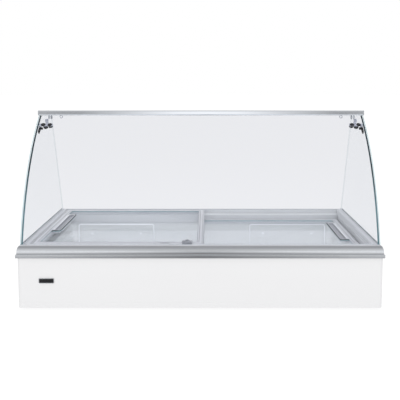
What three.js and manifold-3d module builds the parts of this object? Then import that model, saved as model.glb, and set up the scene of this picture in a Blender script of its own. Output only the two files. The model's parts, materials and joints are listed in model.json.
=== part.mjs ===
// Ice cream dipping cabinet: a low insulated counter-top cabinet with two sliding glass lids
// and a curved glass guard. Millimetres, +X to the right, +Y to the back, +Z up. The origin is
// at the bottom centre of the whole object. Each mesh is one separate piece of the real thing.

import * as THREE from "three";
import { mergeVertices } from "three/addons/utils/BufferGeometryUtils.js";
import Module from "manifold-3d";

const wasm = await Module();
wasm.setup();

// ---------------------------------------------------------------- driving dimensions

const WIDTH = 1280; // over the edge frame
const FRAME_DEPTH = 660; // edge frame, front to back
const MACHINE_DEPTH = 138; // machine cover behind the edge frame
const REAR_FITTINGS = 12; // drain cap and buttons stand off the cover by at most this
const FOOT_HEIGHT = 8;
const RAIL_BOTTOM = 186;
const RAIL_TOP = 228;
const GUARD_TOP = 682;
const SHEET = 1.5; // sheet metal
const GAP = 0.3; // clearance between neighbouring pieces

// ---------------------------------------------------------------- places worked out from them

const FRONT = -(FRAME_DEPTH + MACHINE_DEPTH + REAR_FITTINGS) / 2;
const BACK = FRONT + FRAME_DEPTH;
const MACHINE_BACK = BACK + MACHINE_DEPTH;
const REAR = MACHINE_BACK + REAR_FITTINGS;
const HALF = WIDTH / 2;

const PANEL_HALF = HALF - 5; // the white panels stand back under the frame's lip
const PANEL_FRONT = FRONT + 4;
const PANEL_TOP = RAIL_BOTTOM - GAP;
const PANEL_RETURN = 31; // length of the front panel's returned ends
const PANEL_CORNER = 12;
const INNER_HALF = PANEL_HALF - SHEET - GAP;

const TANK_HALF = 570;
const TANK_FRONT = FRONT + 64;
const TANK_BACK = BACK - 62;
const TANK_FLOOR = 54;
const TANK_CORNER = 24;
const THROAT_BOTTOM = 140;
const FOAM_TOP = 168;
const THROAT_FLANGE = 2.4;

const TRACK_BOTTOM = FOAM_TOP + THROAT_FLANGE + 2 * GAP;
const LEDGE = 3;
const LID_HEIGHT = 16;
const LOWER_LID_BOTTOM = TRACK_BOTTOM + LEDGE + GAP;
const UPPER_LID_BOTTOM = RAIL_TOP - 2 - LID_HEIGHT;
const TRACK_TOP = RAIL_TOP - 2;

const FRONT_WALL = 38; // from the frame's outer face to the front track's wall
const BACK_WALL = 21;
const SIDE_WALL = 39;

const GLASS = 6; // guard glass
const GLASS_HALF = HALF - 13;
const GUARD_RADIUS = 779; // outer face of the curved front glass
const GUARD_CENTRE_Y = FRONT + 772;
const GUARD_CENTRE_Z = 33;
const SIDE_GLASS_X = GLASS_HALF - GLASS - 2; // inner face of a side glass
const SIDE_GLASS_TOP = GUARD_TOP - 20;
const GROOVE_FLOOR = RAIL_TOP - 12.5;

// ---------------------------------------------------------------- materials

function finish(colour, roughness, metalness, opacity = 1) {
  return new THREE.MeshStandardMaterial({
    color: colour, roughness, metalness, opacity, transparent: opacity < 1,
  });
}

const finishes = {
  whitePaint: finish(0xf1f1f2, 0.35, 0),
  aluminium: finish(0xb9bbbe, 0.35, 0.9),
  steel: finish(0xa9acb0, 0.4, 0.9),
  chrome: finish(0xc9ccd0, 0.12, 1),
  foam: finish(0xe9dfb8, 0.9, 0),
  liner: finish(0xd3d8e0, 0.35, 0.4),
  greyPlastic: finish(0xc4c6ca, 0.5, 0),
  palePlastic: finish(0xdcdde0, 0.45, 0),
  darkPlastic: finish(0x2c2f33, 0.5, 0),
  glass: finish(0xdfe9ec, 0.05, 0, 0.3),
  rubber: finish(0x1d1d1f, 0.8, 0),
  copper: finish(0xb5683a, 0.3, 1),
  blackPaint: finish(0x1b1c1e, 0.4, 0.2),
};

// ---------------------------------------------------------------- shape helpers

function solid(geometry) {
  const bare = geometry.clone();
  for (const name of Object.keys(bare.attributes)) {
    if (name !== "position") bare.deleteAttribute(name);
  }
  const merged = mergeVertices(bare, 1e-3);
  return new wasm.Manifold(new wasm.Mesh({
    numProp: 3,
    vertProperties: merged.attributes.position.array,
    triVerts: new Uint32Array(merged.index.array),
  }));
}

function geometryOf(manifold) {
  const mesh = manifold.getMesh();
  const geometry = new THREE.BufferGeometry();
  geometry.setAttribute("position", new THREE.BufferAttribute(mesh.vertProperties, 3));
  geometry.setIndex(new THREE.BufferAttribute(mesh.triVerts, 1));
  geometry.computeVertexNormals();
  return geometry;
}

function join(first, ...others) {
  return geometryOf(others.reduce((sum, g) => sum.add(solid(g)), solid(first)));
}

function cut(first, ...others) {
  return geometryOf(others.reduce((rest, g) => rest.subtract(solid(g)), solid(first)));
}

function common(first, second) {
  return geometryOf(solid(first).intersect(solid(second)));
}

function block([x0, x1], [y0, y1], [z0, z1]) {
  return new THREE.BoxGeometry(x1 - x0, y1 - y0, z1 - z0)
    .translate((x0 + x1) / 2, (y0 + y1) / 2, (z0 + z1) / 2);
}

function shapeOf(points) {
  return new THREE.Shape(points.map(([u, v]) => new THREE.Vector2(u, v)));
}

// An outline in (y, z) drawn out from x0 to x1.
function alongX(shape, x0, x1, curveSegments = 12) {
  const geometry = new THREE.ExtrudeGeometry(shape, {
    depth: x1 - x0, bevelEnabled: false, curveSegments,
  });
  geometry.applyMatrix4(new THREE.Matrix4().set(0, 0, 1, x0, 1, 0, 0, 0, 0, 1, 0, 0, 0, 0, 0, 1));
  return geometry;
}

// An outline in (x, z) drawn out from y0 to y1.
function alongY(shape, y0, y1, curveSegments = 12) {
  const geometry = new THREE.ExtrudeGeometry(shape, {
    depth: y1 - y0, bevelEnabled: false, curveSegments,
  });
  geometry.applyMatrix4(new THREE.Matrix4().set(1, 0, 0, 0, 0, 0, -1, y1, 0, 1, 0, 0, 0, 0, 0, 1));
  return geometry;
}

// An outline in (x, y) drawn out from z0 to z1.
function alongZ(shape, z0, z1, curveSegments = 12) {
  return new THREE.ExtrudeGeometry(shape, {
    depth: z1 - z0, bevelEnabled: false, curveSegments,
  }).translate(0, 0, z0);
}

function roundedOutline([u0, u1], [v0, v1], radius) {
  const shape = new THREE.Shape();
  shape.moveTo(u0 + radius, v0);
  shape.absarc(u1 - radius, v0 + radius, radius, -Math.PI / 2, 0, false);
  shape.absarc(u1 - radius, v1 - radius, radius, 0, Math.PI / 2, false);
  shape.absarc(u0 + radius, v1 - radius, radius, Math.PI / 2, Math.PI, false);
  shape.absarc(u0 + radius, v0 + radius, radius, Math.PI, 1.5 * Math.PI, false);
  return shape;
}

function roundedBlock(xs, ys, [z0, z1], radius, curveSegments = 3) {
  return alongZ(roundedOutline(xs, ys, radius), z0, z1, curveSegments);
}

// A solid of revolution about X, Y or Z from [radius, height] points that start and end on the axis.
function turned(profile, axis, [x, y, z], segments = 24) {
  const geometry = new THREE.LatheGeometry(
    profile.map(([r, h]) => new THREE.Vector2(Math.max(r, 0), h)), segments);
  if (axis === "x") geometry.rotateZ(-Math.PI / 2);
  if (axis === "z") geometry.rotateX(Math.PI / 2);
  return geometry.translate(x, y, z);
}

function rod(radius, height, axis, centre, segments = 24) {
  const half = height / 2;
  return turned([[0, -half], [radius, -half], [radius, half], [0, half]], axis, centre, segments);
}

// A round bar that follows a smooth curve through the points.
function bentBar(points, radius, steps, sides = 8) {
  const path = new THREE.CatmullRomCurve3(
    points.map((p) => new THREE.Vector3(...p)), false, "catmullrom", 0.5);
  const section = new THREE.Shape();
  section.absarc(0, 0, radius, 0, 2 * Math.PI, false);
  return new THREE.ExtrudeGeometry(section, {
    steps, extrudePath: path, bevelEnabled: false, curveSegments: sides / 2,
  });
}

// A band of the guard's cylinder between two radii and two heights, as an outline in (y, z).
function guardBand(outer, inner, bottom, top, segments = 24) {
  const at = (radius, angle) => [
    GUARD_CENTRE_Y - radius * Math.cos(angle),
    GUARD_CENTRE_Z + radius * Math.sin(angle),
  ];
  const middle = (outer + inner) / 2;
  const low = Math.asin((bottom - GUARD_CENTRE_Z) / middle);
  const high = Math.asin((top - GUARD_CENTRE_Z) / middle);
  const angles = Array.from({ length: segments + 1 }, (_, i) => low + ((high - low) * i) / segments);
  const innerSide = angles.map((a) => at(inner, a));
  const outerSide = angles.map((a) => at(outer, a)).reverse();
  return shapeOf([...innerSide, ...outerSide]);
}

const cabinet = new THREE.Group();
cabinet.name = "ice_cream_dipping_cabinet";

function piece(name, geometry, material, parent = cabinet) {
  const mesh = new THREE.Mesh(geometry, material);
  mesh.name = name;
  parent.add(mesh);
  return mesh;
}

const SIDES = [["left", -1], ["right", 1]];
const across = (side, a, b) => (side < 0 ? [-b, -a] : [a, b]);

// ---------------------------------------------------------------- body

const CONDENSER_X = [-300, -12]; // the condenser stands behind the rear louvres
const CONDENSER_TOP = 150;

function basePan() {
  const corner = PANEL_CORNER - SHEET - GAP;
  const pan = roundedBlock([-INNER_HALF, INNER_HALF],
    [PANEL_FRONT + SHEET + GAP, MACHINE_BACK - SHEET - GAP],
    [FOOT_HEIGHT + GAP, FOOT_HEIGHT + GAP + 14], corner);
  const inside = roundedBlock([-INNER_HALF + SHEET, INNER_HALF - SHEET],
    [PANEL_FRONT + 2 * SHEET + GAP, MACHINE_BACK - 2 * SHEET - GAP],
    [FOOT_HEIGHT + GAP + SHEET, FOOT_HEIGHT + 30], corner - SHEET);
  const ventPitch = 40;
  const vents = Array.from({ length: 7 }, (_, i) => {
    const x = CONDENSER_X[0] + 10 + i * ventPitch;
    return block([x, x + 14], [BACK + 30, BACK + 110], [0, 30]);
  });
  return cut(pan, inside, ...vents);
}

function frontPanel() {
  const end = FRONT + PANEL_RETURN + 4;
  const outer = new THREE.Shape();
  outer.moveTo(-PANEL_HALF, end);
  outer.absarc(-PANEL_HALF + PANEL_CORNER, PANEL_FRONT + PANEL_CORNER, PANEL_CORNER,
    Math.PI, 1.5 * Math.PI, false);
  outer.absarc(PANEL_HALF - PANEL_CORNER, PANEL_FRONT + PANEL_CORNER, PANEL_CORNER,
    -Math.PI / 2, 0, false);
  outer.lineTo(PANEL_HALF, end);
  outer.lineTo(PANEL_HALF - SHEET, end);
  outer.absarc(PANEL_HALF - PANEL_CORNER, PANEL_FRONT + PANEL_CORNER, PANEL_CORNER - SHEET,
    0, -Math.PI / 2, true);
  outer.absarc(-PANEL_HALF + PANEL_CORNER, PANEL_FRONT + PANEL_CORNER, PANEL_CORNER - SHEET,
    1.5 * Math.PI, Math.PI, true);
  outer.lineTo(-PANEL_HALF + SHEET, end);
  return alongZ(outer, FOOT_HEIGHT, PANEL_TOP, 6);
}

function sidePanel(side) {
  return block(across(side, PANEL_HALF - SHEET, PANEL_HALF),
    [FRONT + PANEL_RETURN + 4 + GAP, BACK - GAP], [FOOT_HEIGHT, PANEL_TOP]);
}

function rearPartition() {
  return block([-INNER_HALF, INNER_HALF], [BACK - SHEET - GAP, BACK - GAP],
    [FOOT_HEIGHT + 16, PANEL_TOP]);
}

const COVER_TOP = 170;
const CONTROL_X = [330, 520];
const CONTROL_Z = [58, 148];
const INLET_X = [556, 606];
const INLET_Z = [46, 76];
const DRAIN_X = -585;
const DRAIN_Z = 40;
const REAR_LOUVRES = { columns: 4, rows: 6, x: -306, z: 36, width: 64, pitchX: 76 };
const SIDE_LOUVRES = { rows: 5, z: 54, y: [BACK + 35, BACK + 105] };
const LOUVRE_PITCH = 18;
const LOUVRE_HEIGHT = 7;

function machineCover() {
  const outer = roundedBlock([-PANEL_HALF, PANEL_HALF], [BACK, MACHINE_BACK],
    [FOOT_HEIGHT, COVER_TOP], PANEL_CORNER);
  const squareFront = block([-PANEL_HALF, PANEL_HALF], [BACK, BACK + 40], [FOOT_HEIGHT, COVER_TOP]);
  const inside = roundedBlock([-PANEL_HALF + SHEET, PANEL_HALF - SHEET],
    [BACK - 30, MACHINE_BACK - SHEET], [0, COVER_TOP - SHEET], PANEL_CORNER - SHEET);
  const openings = [
    block([CONTROL_X[0] - GAP, CONTROL_X[1] + GAP], [MACHINE_BACK - 5, REAR],
      [CONTROL_Z[0] - GAP, CONTROL_Z[1] + GAP]),
    block([INLET_X[0] - GAP, INLET_X[1] + GAP], [MACHINE_BACK - 5, REAR],
      [INLET_Z[0] - GAP, INLET_Z[1] + GAP]),
    rod(11 + GAP, 40, "y", [DRAIN_X, MACHINE_BACK, DRAIN_Z], 24),
  ];
  for (let column = 0; column < REAR_LOUVRES.columns; column += 1) {
    for (let row = 0; row < REAR_LOUVRES.rows; row += 1) {
      const x = REAR_LOUVRES.x + column * REAR_LOUVRES.pitchX;
      const z = REAR_LOUVRES.z + row * LOUVRE_PITCH;
      openings.push(block([x, x + REAR_LOUVRES.width], [MACHINE_BACK - 5, REAR],
        [z, z + LOUVRE_HEIGHT]));
    }
  }
  for (const [, side] of SIDES) {
    for (let row = 0; row < SIDE_LOUVRES.rows; row += 1) {
      const z = SIDE_LOUVRES.z + row * LOUVRE_PITCH;
      openings.push(block(across(side, PANEL_HALF - 5, HALF), SIDE_LOUVRES.y,
        [z, z + LOUVRE_HEIGHT]));
    }
  }
  return cut(join(outer, squareFront), inside, ...openings);
}

function insulationShell() {
  const foam = block([-INNER_HALF, INNER_HALF],
    [PANEL_FRONT + SHEET + GAP, BACK - SHEET - 2 * GAP], [FOOT_HEIGHT + 16, FOAM_TOP]);
  const trimmed = common(foam, roundedBlock([-INNER_HALF, INNER_HALF],
    [PANEL_FRONT + SHEET + GAP, BACK + 30], [0, 400], PANEL_CORNER - SHEET - GAP));
  const lower = roundedBlock([-TANK_HALF - 11.5, TANK_HALF + 11.5],
    [TANK_FRONT - 11.5, TANK_BACK + 11.5], [TANK_FLOOR, THROAT_BOTTOM], TANK_CORNER + 11.5);
  const upper = roundedBlock([-TANK_HALF - 4.3, TANK_HALF + 4.3],
    [TANK_FRONT - 4.3, TANK_BACK + 4.3], [THROAT_BOTTOM - 1, FOAM_TOP + 1], TANK_CORNER + 4.3);
  return cut(trimmed, lower, upper);
}

function tankLiner() {
  const z0 = TANK_FLOOR + GAP;
  const z1 = THROAT_BOTTOM - GAP;
  const outer = roundedBlock([-TANK_HALF - SHEET, TANK_HALF + SHEET],
    [TANK_FRONT - SHEET, TANK_BACK + SHEET], [z0, z1], TANK_CORNER + SHEET);
  const inside = roundedBlock([-TANK_HALF, TANK_HALF], [TANK_FRONT, TANK_BACK],
    [z0 + SHEET, z1 + 5], TANK_CORNER);
  return cut(outer, inside);
}

function throatCollar() {
  const wall = roundedBlock([-TANK_HALF - 4, TANK_HALF + 4], [TANK_FRONT - 4, TANK_BACK + 4],
    [THROAT_BOTTOM, FOAM_TOP + GAP + THROAT_FLANGE], TANK_CORNER + 4);
  const flange = block([-TANK_HALF - 26, TANK_HALF + 26], [TANK_FRONT - 22, TANK_BACK + 22],
    [FOAM_TOP + GAP, FOAM_TOP + GAP + THROAT_FLANGE]);
  const mouth = roundedBlock([-TANK_HALF, TANK_HALF], [TANK_FRONT, TANK_BACK],
    [THROAT_BOTTOM - 5, FOAM_TOP + 20], TANK_CORNER);
  return cut(join(wall, flange), mouth);
}

// Two turns of round tube in the space between the liner and the foam.
function evaporatorCoil() {
  const offset = 6.5;
  const corner = TANK_CORNER + offset;
  const x = TANK_HALF + offset - corner;
  const y0 = TANK_FRONT - offset + corner;
  const y1 = TANK_BACK + offset - corner;
  const corners = [[x, y0, -90], [x, y1, 0], [-x, y1, 90], [-x, y0, 180]];
  const turns = 2;
  const pitch = 26;
  const arcSteps = 4;
  const plan = [];
  for (const [cx, cy, start] of corners) {
    for (let i = 0; i <= arcSteps; i += 1) {
      const angle = THREE.MathUtils.degToRad(start + (90 * i) / arcSteps);
      plan.push([cx + corner * Math.cos(angle), cy + corner * Math.sin(angle)]);
    }
  }
  const points = [];
  for (let turn = 0; turn < turns; turn += 1) {
    plan.forEach(([px, py], i) => {
      points.push([px, py, 72 + pitch * (turn + i / plan.length)]);
    });
  }
  return wireAlong(points, 4, 8);
}

// A nearly level tube with one ring of vertices at each listed point, so straight runs stay straight.
function wireAlong(points, radius, sides) {
  const path = points.map((p) => new THREE.Vector3(...p));
  const up = new THREE.Vector3(0, 0, 1);
  const corners = [];
  path.forEach((here, i) => {
    const before = path[Math.max(i - 1, 0)];
    const after = path[Math.min(i + 1, path.length - 1)];
    const along = after.clone().sub(before).normalize();
    const outwards = along.clone().cross(up).normalize();
    const upwards = outwards.clone().cross(along);
    for (let k = 0; k < sides; k += 1) {
      const angle = (2 * Math.PI * k) / sides;
      corners.push(here.clone().addScaledVector(outwards, radius * Math.cos(angle))
        .addScaledVector(upwards, radius * Math.sin(angle)));
    }
  });
  const faces = [];
  for (let i = 0; i < path.length - 1; i += 1) {
    for (let k = 0; k < sides; k += 1) {
      const a = i * sides + k;
      const b = i * sides + ((k + 1) % sides);
      faces.push(a, b + sides, b, a, a + sides, b + sides);
    }
  }
  const last = (path.length - 1) * sides;
  for (let k = 1; k < sides - 1; k += 1) {
    faces.push(0, k, k + 1, last, last + k + 1, last + k);
  }
  const geometry = new THREE.BufferGeometry().setFromPoints(corners);
  geometry.setIndex(faces);
  geometry.computeVertexNormals();
  return geometry;
}

function foot() {
  return turned([[0, 0], [15, 0], [16, 1], [16, 3], [12, 4], [12, FOOT_HEIGHT],
    [0, FOOT_HEIGHT]], "z", [0, 0, 0], 18);
}

const BADGE = { width: 53, height: 18, thickness: 1.9, fromEnd: 74, centreZ: 106 };

function badgePlate() {
  const x0 = -PANEL_HALF + BADGE.fromEnd;
  const z0 = BADGE.centreZ - BADGE.height / 2;
  const outline = roundedOutline([x0, x0 + BADGE.width], [z0, z0 + BADGE.height], 2);
  const back = PANEL_FRONT - GAP;
  return alongY(outline, back - BADGE.thickness, back, 3);
}

// ---------------------------------------------------------------- edge frame

// The rail's section: inset from the outer face, height. A flat lower lip stands proud of a
// rounded upper roll, and the inside is an open tunnel.
function railSection(width, tunnelTop) {
  const lip = RAIL_BOTTOM + 16;
  const points = [[width, RAIL_BOTTOM], [1.5, RAIL_BOTTOM], [0, RAIL_BOTTOM + 1.5], [0, lip - 1],
    [1, lip], [4, lip + 1]];
  const rollSteps = 8;
  for (let i = 1; i <= rollSteps; i += 1) {
    const angle = (Math.PI / 2) * (i / rollSteps);
    points.push([13 - 9 * Math.cos(angle), lip + 4 + (RAIL_TOP - lip - 4) * Math.sin(angle)]);
  }
  points.push([width, RAIL_TOP]);
  return { points, tunnel: [[7, RAIL_BOTTOM + 3], [width - 3, RAIL_BOTTOM + 3],
    [width - 3, tunnelTop], [7, tunnelTop]] };
}

function railShape(width, tunnelTop, place) {
  const { points, tunnel } = railSection(width, tunnelTop);
  const shape = shapeOf(points.map(([inset, z]) => [place(inset), z]));
  shape.holes.push(new THREE.Path(tunnel.map(([inset, z]) => new THREE.Vector2(place(inset), z))));
  return shape;
}

const FRONT_RAIL = FRONT_WALL - GAP;
const BACK_RAIL = BACK_WALL - GAP;
const SIDE_RAIL = SIDE_WALL - GAP;
const MITRE = 0.15;
const TUNNEL_TOP = GROOVE_FLOOR - 3;

function glassGrooves() {
  const cuts = [block([-GLASS_HALF - 1, GLASS_HALF + 1], [FRONT + 14, FRONT + 25.5],
    [GROOVE_FLOOR, RAIL_TOP + 5])];
  for (const [, side] of SIDES) {
    cuts.push(block(across(side, SIDE_GLASS_X - 0.5, SIDE_GLASS_X + GLASS + 0.5),
      [FRONT + 20, BACK - 3], [GROOVE_FLOOR, RAIL_TOP + 5]));
  }
  return cuts;
}

function crossRail(isFront) {
  const width = isFront ? FRONT_RAIL : BACK_RAIL;
  const place = isFront ? (inset) => FRONT + inset : (inset) => BACK - inset;
  const bar = alongX(railShape(width, TUNNEL_TOP, place), -HALF, HALF);
  const outerY = isFront ? FRONT : BACK;
  const innerY = place(width);
  const inner = HALF - width - MITRE;
  const plan = shapeOf([[-HALF + MITRE, outerY], [HALF - MITRE, outerY], [inner, innerY],
    [-inner, innerY]]);
  return cut(common(bar, alongZ(plan, 0, 400)), ...glassGrooves());
}

function sideRail(side) {
  const place = (inset) => side * (HALF - inset);
  const bar = alongY(railShape(SIDE_RAIL, TUNNEL_TOP, place), FRONT, BACK);
  const inner = HALF - SIDE_RAIL;
  const backInner = BACK - BACK_WALL;
  const plan = shapeOf([
    [HALF, FRONT + MITRE], [HALF, BACK - MITRE], [HALF - BACK_WALL, backInner - MITRE],
    [inner, backInner - MITRE], [inner, FRONT + SIDE_RAIL + MITRE],
  ].map(([x, y]) => [side * x, y]));
  return cut(common(bar, alongZ(plan, 0, 400)), ...glassGrooves());
}

// Stepped plastic rail that carries the upper lid on its outer ledge and the lower lid inside it.
function lidTrack(wall, upperLedge, lowerLedge, place) {
  const ledgeTop = UPPER_LID_BOTTOM - GAP;
  const outline = [[wall, TRACK_BOTTOM], [lowerLedge, TRACK_BOTTOM], [lowerLedge, TRACK_BOTTOM + LEDGE],
    [upperLedge, TRACK_BOTTOM + LEDGE], [upperLedge, ledgeTop], [wall + LEDGE, ledgeTop],
    [wall + LEDGE, TRACK_TOP], [wall, TRACK_TOP]];
  const shape = shapeOf(outline.map(([inset, z]) => [place(inset), z]));
  const skin = LEDGE - 0.5;
  const tunnel = [[wall + skin, TRACK_BOTTOM + skin], [wall + skin, ledgeTop - skin],
    [upperLedge - skin, ledgeTop - skin], [upperLedge - skin, TRACK_BOTTOM + skin]];
  shape.holes.push(new THREE.Path(tunnel.map(([inset, z]) => new THREE.Vector2(place(inset), z))));
  const half = HALF - SIDE_WALL - LEDGE - GAP;
  return alongX(shape, -half, half);
}

const FRONT_UPPER_LEDGE = FRONT_WALL + 16;
const FRONT_LOWER_LEDGE = FRONT_WALL + 30;
const BACK_UPPER_LEDGE = BACK_WALL + 28;
const BACK_LOWER_LEDGE = BACK_WALL + 43;

function endTrim(side) {
  const wall = block(across(side, HALF - SIDE_WALL - LEDGE, HALF - SIDE_WALL),
    [FRONT + FRONT_WALL, BACK - BACK_WALL], [TRACK_BOTTOM, TRACK_TOP]);
  const lip = block(across(side, TANK_HALF + 2, HALF - SIDE_WALL - 1),
    [FRONT + FRONT_LOWER_LEDGE + GAP, BACK - BACK_LOWER_LEDGE - GAP],
    [TRACK_BOTTOM, TRACK_BOTTOM + LEDGE]);
  const rib = block(across(side, HALF - SIDE_WALL - LEDGE - 1.6, HALF - SIDE_WALL - 1),
    [FRONT + FRONT_LOWER_LEDGE + GAP, BACK - BACK_LOWER_LEDGE - GAP],
    [TRACK_TOP - 20, TRACK_TOP - 17.5]);
  return join(wall, lip, rib);
}

// ---------------------------------------------------------------- guard

function frontGlass() {
  return alongX(guardBand(GUARD_RADIUS, GUARD_RADIUS - GLASS, GROOVE_FLOOR + 1, 670, 28),
    -GLASS_HALF, GLASS_HALF);
}

function sideGlass(side) {
  const radius = GUARD_RADIUS - GLASS - 1;
  const bottom = GROOVE_FLOOR + 0.5;
  const low = Math.asin((bottom - GUARD_CENTRE_Z) / radius);
  const high = Math.asin((SIDE_GLASS_TOP - GUARD_CENTRE_Z) / radius);
  const steps = 20;
  const points = [];
  for (let i = 0; i <= steps; i += 1) {
    const angle = high + ((low - high) * i) / steps;
    points.push([GUARD_CENTRE_Y - radius * Math.cos(angle),
      GUARD_CENTRE_Z + radius * Math.sin(angle)]);
  }
  const backBottom = BACK - 8;
  const backTop = FRONT + 488;
  points.push([backBottom, bottom], [backBottom, RAIL_TOP + 1]);
  // the rear top corner is rounded
  const lean = Math.atan2(SIDE_GLASS_TOP - RAIL_TOP, backBottom - backTop);
  const round = 26;
  const centre = [backTop - round * Math.tan(lean / 2), SIDE_GLASS_TOP - round];
  for (let i = 0; i <= 6; i += 1) {
    const angle = (Math.PI / 2 - lean) + (lean * i) / 6;
    points.push([centre[0] + round * Math.cos(angle), centre[1] + round * Math.sin(angle)]);
  }
  const [x0, x1] = across(side, SIDE_GLASS_X, SIDE_GLASS_X + GLASS);
  return alongX(shapeOf(points), x0, x1);
}

const TOP_RAIL_HALF = GLASS_HALF + 2.5;
const TOP_RAIL_HEIGHT = 18.5;

function topRail() {
  const z0 = GUARD_TOP - TOP_RAIL_HEIGHT;
  const outline = roundedOutline([FRONT + 308, FRONT + 342], [z0, GUARD_TOP], 4);
  const bar = alongX(outline, -TOP_RAIL_HALF, TOP_RAIL_HALF, 4);
  const slot = alongX(guardBand(GUARD_RADIUS + 0.4, GUARD_RADIUS - GLASS - 0.4, 600, 670.6, 28),
    -GLASS_HALF - 0.5, GLASS_HALF + 0.5);
  return cut(bar, slot);
}

// The clamps sit on the curved glass, in a frame of their own: x across, y away from the glass
// towards the server, z up along it.
const CLAMP_Z = 630;

function clampFrame() {
  const radius = GUARD_RADIUS - GLASS;
  const angle = Math.asin((CLAMP_Z - GUARD_CENTRE_Z) / radius);
  const frame = new THREE.Group();
  frame.position.set(0, GUARD_CENTRE_Y - radius * Math.cos(angle), CLAMP_Z);
  frame.rotation.x = -angle;
  cabinet.add(frame);
  return frame;
}

const CLAMP = { plate: 34, depth: 30, half: 12, knobInset: 24, knobRadius: 8.6 };

function clampBracket(side) {
  const face = SIDE_GLASS_X - GAP;
  const heights = [-CLAMP.half, CLAMP.half];
  const frontLeg = block(across(side, face - CLAMP.plate, face), [0.8, 4.6], heights);
  const sideLeg = block(across(side, face - 3.4, face), [2, CLAMP.depth], heights);
  const arm = block(across(side, face - 14, face - 7), [3.6, 9], [4, 4 * CLAMP.half]);
  const boss = rod(8, 8, "x", [side * (face - 6), 19, 0], 20);
  return join(frontLeg, sideLeg, arm, boss);
}

function thumbKnob() {
  const lobes = 6;
  const outline = Array.from({ length: 48 }, (_, i) => {
    const angle = (2 * Math.PI * i) / 48;
    const radius = CLAMP.knobRadius + 0.9 * Math.cos(lobes * angle);
    return [radius * Math.cos(angle), radius * Math.sin(angle)];
  });
  return join(alongY(shapeOf(outline), 2, 12), rod(4.6, 4, "y", [0, 1.9, 0], 20));
}

function glassStud(side) {
  const dome = [[0, 0], [9, 0], [9, 3], [7.5, 5], [3, 6], [0, 6]];
  const profile = side < 0 ? dome : dome.map(([r, h]) => [r, -h]).reverse();
  return turned(profile, "x",
    [side * (SIDE_GLASS_X - GAP), FRONT + 470, SIDE_GLASS_TOP - 14], 24);
}

// ---------------------------------------------------------------- sliding lids

const UPPER_LID = {
  x: [-HALF + SIDE_WALL + LEDGE + 2.5, 10],
  y: [FRONT + FRONT_WALL + 4, BACK - BACK_WALL - 4],
  z: UPPER_LID_BOTTOM,
  pull: -1,
};
const LOWER_LID = {
  x: [-12, HALF - SIDE_WALL - LEDGE - 5],
  y: [FRONT + FRONT_UPPER_LEDGE + 1, BACK - BACK_UPPER_LEDGE - 1],
  z: LOWER_LID_BOTTOM,
  pull: 1,
};
const BAR = { side: 21, back: 20, front: 32 };
const PULL = { width: 34, length: 286, depth: 13, wall: 2.4, front: FRONT + 252 };

function lidOpening({ x, y }) {
  return { x: [x[0] + BAR.side, x[1] - BAR.side], y: [y[0] + BAR.front, y[1] - BAR.back] };
}

function lidFrame(lid) {
  const open = lidOpening(lid);
  const outer = roundedBlock(lid.x, lid.y, [lid.z, lid.z + LID_HEIGHT], 5, 3);
  const hole = roundedBlock(open.x, open.y, [lid.z - 1, lid.z + LID_HEIGHT + 1], 8, 3);
  return cut(outer, hole);
}

function pullPlace(lid) {
  const open = lidOpening(lid);
  const x0 = lid.pull < 0 ? open.x[0] + GAP : open.x[1] - GAP - PULL.width;
  return { x: [x0, x0 + PULL.width], y: [PULL.front, PULL.front + PULL.length] };
}

function lidGlass(lid) {
  const open = lidOpening(lid);
  const pull = pullPlace(lid);
  const pane = roundedBlock([open.x[0] + GAP, open.x[1] - GAP], [open.y[0] + GAP, open.y[1] - GAP],
    [lid.z + LID_HEIGHT - 6, lid.z + LID_HEIGHT - 2], 8, 3);
  const past = 5; // the notch runs out through the pane's outer edge
  const notchX = [pull.x[0] - GAP - (lid.pull < 0 ? past : 0), pull.x[1] + GAP + (lid.pull > 0 ? past : 0)];
  const notch = block(notchX, [pull.y[0] - GAP, pull.y[1] + GAP], [lid.z, lid.z + 2 * LID_HEIGHT]);
  return cut(pane, notch);
}

function lidHandle(lid) {
  const { x, y } = pullPlace(lid);
  const top = lid.z + LID_HEIGHT;
  const tray = roundedBlock(x, y, [top - PULL.depth, top], 10, 5);
  const recess = roundedBlock([x[0] + PULL.wall, x[1] - PULL.wall],
    [y[0] + PULL.wall, y[1] - PULL.wall], [top - PULL.depth + PULL.wall, top + 5], 8, 5);
  return cut(tray, recess);
}

const LOCK = { x: -47, y: UPPER_LID.y[0] + 15, z: UPPER_LID.z + LID_HEIGHT + GAP, height: 9 };

function lockBody() {
  const body = alongZ(roundedOutline([LOCK.x - 19, LOCK.x + 19], [LOCK.y - 11, LOCK.y + 11], 4),
    LOCK.z, LOCK.z + LOCK.height, 4);
  return cut(body, rod(7.4, 30, "z", [LOCK.x, LOCK.y, LOCK.z], 24));
}

function lockCylinder() {
  const barrel = turned([[0, 0], [7, 0], [7, LOCK.height + GAP], [8.6, LOCK.height + GAP],
    [8.6, LOCK.height + 1.8], [7.8, LOCK.height + 2.6], [0, LOCK.height + 2.6]],
  "z", [LOCK.x, LOCK.y, LOCK.z], 24);
  const keySlot = block([LOCK.x - 4, LOCK.x + 4], [LOCK.y - 0.9, LOCK.y + 0.9],
    [LOCK.z + LOCK.height - 3, LOCK.z + 30]);
  return cut(barrel, keySlot);
}

// ---------------------------------------------------------------- tub guards on the tank's wall

const TUB_GUARD_X = [208, 541];

function tubGuard(side) {
  const bar = 5;
  const [x0, x1] = across(side, ...TUB_GUARD_X);
  const z0 = TANK_FLOOR + 5;
  const z1 = TRACK_BOTTOM + 1.4;
  const shape = roundedOutline([x0, x1], [z0, z1], 8);
  const hole = roundedOutline([x0 + bar, x1 - bar], [z0 + bar, z1 - bar], 4);
  shape.holes.push(hole);
  return alongY(shape, TANK_BACK - 8, TANK_BACK - 8 + bar, 4);
}

// ---------------------------------------------------------------- machine space

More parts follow.
